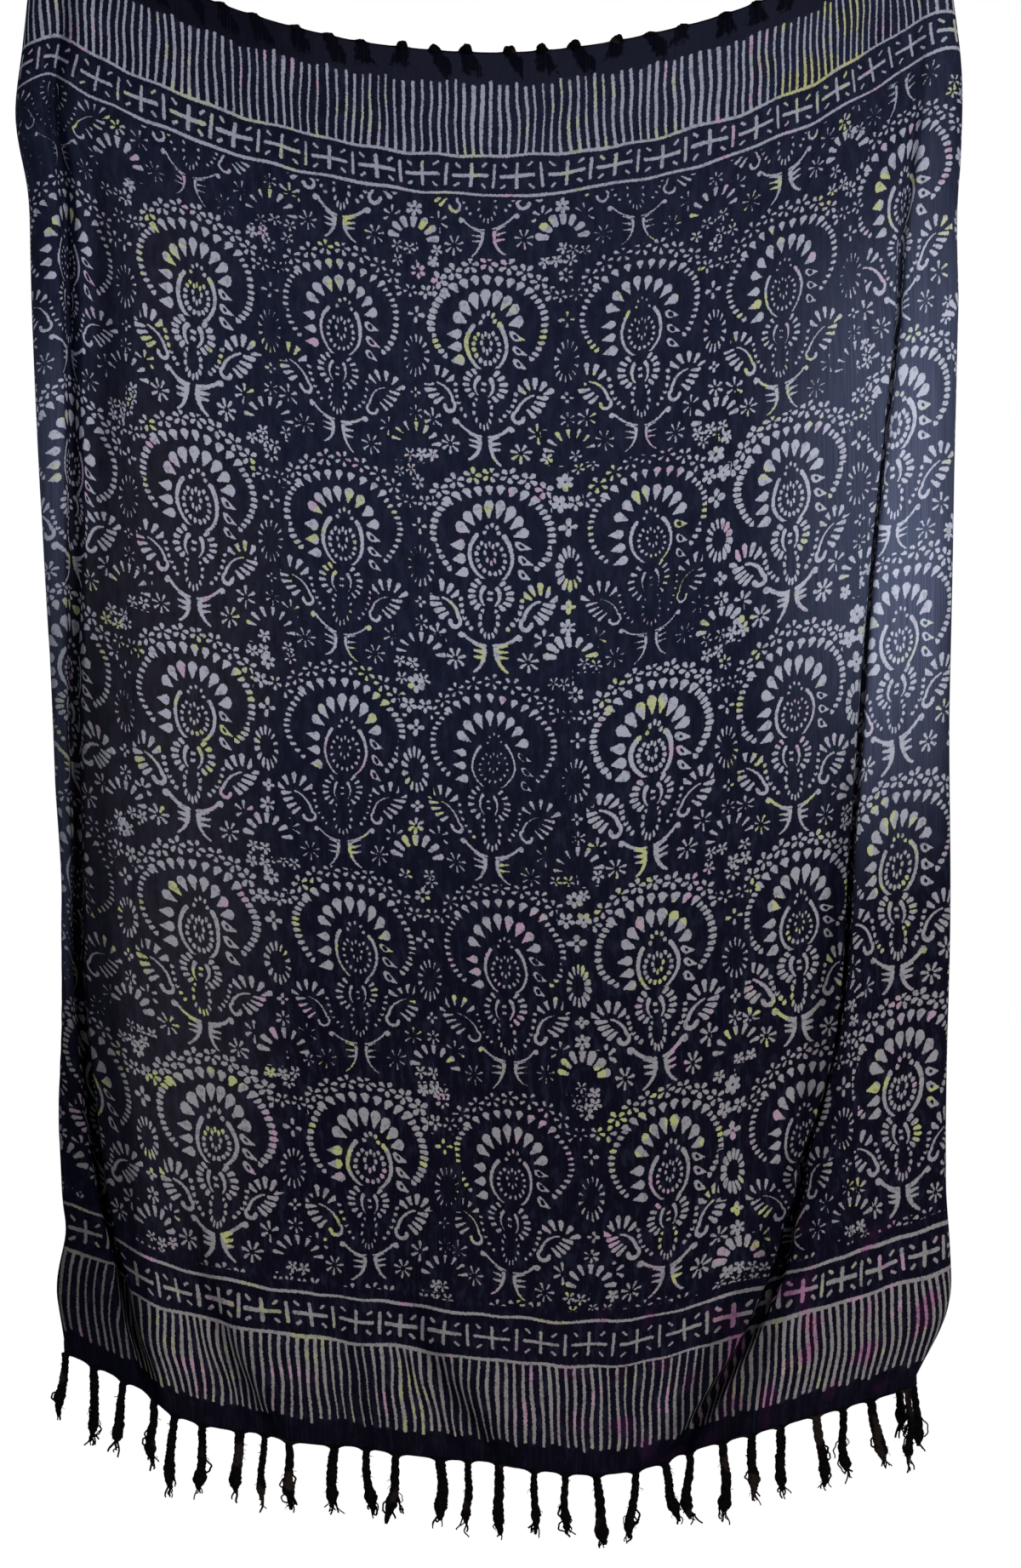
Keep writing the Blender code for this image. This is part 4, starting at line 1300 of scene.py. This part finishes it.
def finishFringe(name, curve, strip, node):
    locks = bpy.data.objects.new(name + "Locks", curve)
    bpy.context.scene.collection.objects.link(locks)
    bpy.context.view_layer.update()
    deps = bpy.context.evaluated_depsgraph_get()
    both = bmesh.new()
    for piece in (locks, strip):
        both.from_mesh(bpy.data.meshes.new_from_object(piece.evaluated_get(deps)))
    bmesh.ops.remove_doubles(both, verts=both.verts, dist=0.000002)
    bmesh.ops.recalc_face_normals(both, faces=both.faces)
    mesh = bpy.data.meshes.new(name)
    both.to_mesh(mesh)
    both.free()
    mesh.shade_smooth()
    mesh.materials.clear()
    mesh.materials.append(fringeYarn)
    for piece in (locks, strip):
        bpy.data.objects.remove(piece)
    made = bpy.data.objects.new(name, mesh)
    bpy.context.scene.collection.objects.link(made)
    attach(made, "root")
    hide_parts(node)
    return made


def lengthOfTassel(seed):
    return tassels["length"] * (1 + tassels["varies"] * math.sin(seed * 1.9))


bottomEdge = {"inside": 0.0015, "strip": 0.005, "shorter": 0.97, "leanSway": 0.07, "leanVary": 0.03,
              "kink": (0.4, 1.5), "kinkDeep": 0.6}
near = cut["length"] - bottomEdge["inside"]
strip, stripRows = drawnStrip("hemStrip", near, near + bottomEdge["strip"])
curve = newCurve("hemLocks")
for index, tasselPlace in enumerate(tasselAcross):
    root, _ = edgePoint(stripRows[1], tasselPlace)
    lean = tassels["sideLean"] * root[0] / hold["span"] + bottomEdge["leanSway"] * math.sin(index * 2.7)
    lean += rng.normal(0, bottomEdge["leanVary"])
    length = lengthOfTassel(index) * bottomEdge["shorter"]
    heading = np.array((lean, tassels["sway"] * math.sin(index * 1.3), -1.0))
    heading /= np.linalg.norm(heading)
    line = root + heading * (np.linspace(0, 1, rope["steps"]) * length)[:, None]
    bend = rope["kink"] * drawn(bottomEdge, "kink")
    kink(line, 0, bend)
    kink(line, 1, bottomEdge["kinkDeep"] * bend)
    addTassel(curve, line, length, 0.0)
bottomFringe = finishFringe("bottomFringe", curve, strip, "bottom_fringe")

topEdge = {
    "inside": 0.0015, "strip": 0.003, "standingHalf": 0.135, "rise": -0.0015, "riseSway": 0.0010,
    "tuckDown": 0.0055, "tuckBack": 0.005, "radius": 0.0040, "over": 140, "overSteps": 14,
    "clear": 0.0045, "clearFast": 4, "kink": (0.3, 1.0), "free": 0.45,
}
gathered = {"beside": (0.004, 0.009), "bow": (0.001, 0.005), "meets": 7, "steps": 9,
            "thin": 0.0012, "thick": 0.0024}


def overTheEdge(root, back, seed, length, tucked):  # a rope that stands up, turns over and hangs behind
    radius = topEdge["radius"]
    rise = topEdge["rise"] + topEdge["riseSway"] * math.sin(seed * 2.3) - topEdge["tuckDown"] * tucked
    angles = np.linspace(0, np.radians(topEdge["over"]), topEdge["overSteps"])
    behind = radius * (1 - np.cos(angles)) + topEdge["tuckBack"] * tucked
    over = root + np.array((0, 0, rise)) + back * behind[:, None]
    over[:, 2] += radius * np.sin(angles)
    fall = length - rise - math.pi * radius
    heading = np.array((tassels["sway"] * math.sin(seed * 1.7), 0.0, -1.0))
    s = np.linspace(0.04, 1, rope["steps"] - topEdge["overSteps"] - 1)
    clear = back * (topEdge["clear"] * np.minimum(1, topEdge["clearFast"] * s))[:, None]
    return np.vstack((root, over, over[-1] + heading * (fall * s)[:, None] + clear))


def gatherYarn(curve, edge, tasselPlace, meeting, tucked):  # it comes in from both sides
    s = np.linspace(0, 1, gathered["steps"])[:, None]
    for beside in (-1, 1):
        foot, _ = edgePoint(edge, tasselPlace + beside * drawn(gathered, "beside"))
        bow = np.array((0, 0, drawn(gathered, "bow") * (1 - tucked)))
        points = foot * (1 - s) + meeting * s + bow * np.sin(np.pi * s)
        addStrand(curve, points, np.linspace(gathered["thin"], gathered["thick"], gathered["steps"]))


near = topEdge["inside"]
strip, stripRows = drawnStrip("topStrip", near, near - topEdge["strip"])
curve = newCurve("topLocks")
for index, tasselPlace in enumerate(tasselAcross):
    root, back = edgePoint(stripRows[2], tasselPlace)
    seed = index + 0.4
    length = lengthOfTassel(seed)
    tucked = 1.0 if abs(root[0]) > topEdge["standingHalf"] else 0.0  # only the middle ones stand up
    line = overTheEdge(root, back, seed, length, tucked)
    meeting = line[1 + gathered["meets"]].copy()
    kink(line, 0, rope["kink"] * drawn(topEdge, "kink"))
    addTassel(curve, line, length, topEdge["free"])
    gatherYarn(curve, stripRows[2], tasselPlace, meeting, tucked)
topFringe = finishFringe("topFringe", curve, strip, "top_fringe")

print("room")
scene = bpy.context.scene
scene.view_settings.view_transform = "Standard"
world = bpy.data.worlds.new("white")
world.use_nodes = True
scene.world = world
background = world.node_tree.nodes["Background"]
background.inputs["Color"].default_value = (1, 1, 1, 1)
seen = fromNode(background, "ShaderNodeLightPath", "Is Camera Ray")
setSocket(background.inputs["Strength"], seen * 0.70 + 0.30)

paleFloor = {
    "halfWide": 2.0, "halfDeep": 1.9, "height": -2.1, "colour": (0.8, 0.8, 0.8, 1), "roughness": 0.9,
}
floorMaterial, shader = newMaterial("paleFloor")
finishLook(shader, paleFloor["colour"], paleFloor["roughness"])
shape = bmesh.new()
bmesh.ops.create_grid(shape, x_segments=1, y_segments=1, size=1.0)
for vertex in shape.verts:
    x, y = vertex.co.x * paleFloor["halfWide"], vertex.co.y * paleFloor["halfDeep"]
    vertex.co = (x, y, paleFloor["height"])
mesh = bpy.data.meshes.new("floor")
shape.to_mesh(mesh)
shape.free()
mesh.materials.append(floorMaterial)
floor = bpy.data.objects.new("floor", mesh)
scene.collection.objects.link(floor)

lights = {  # place, aim, size, power, colour
    "key": ((1.9, -2.6, 0.6), (0.1, 0, -0.75), 1.4, 92, (1.0, 0.99, 0.97)),
    "behind": ((0.6, 3.0, 0.2), (0, 0, -0.9), 2.0, 60, (0.95, 0.97, 1.0)),
    "fill": ((-2.2, -2.8, -0.2), (0, 0, -0.8), 2.0, 34, (0.92, 0.95, 1.0)),
}
for name, (place, aim, size, power, colour) in lights.items():
    light = bpy.data.lights.new(name, "AREA")
    light.shape = "DISK"
    light.size = size
    light.energy = power
    light.color = colour
    made = bpy.data.objects.new(name, light)
    made.location = place
    made.rotation_mode = "QUATERNION"
    made.rotation_quaternion = (Vector(aim) - Vector(place)).to_track_quat("-Z", "Y")
    scene.collection.objects.link(made)

view = {"away": 6.0, "across": 0.009, "height": -0.915, "tall": 1.658, "sensor": 36}
camera = bpy.data.cameras.new("camera")
camera.lens = view["sensor"] * view["away"] / view["tall"]
camera.sensor_width = view["sensor"]
eye = bpy.data.objects.new("camera", camera)
eye.location = (view["across"], -view["away"], view["height"])
eye.rotation_euler = (math.radians(90), 0, 0)
scene.collection.objects.link(eye)
scene.camera = eye
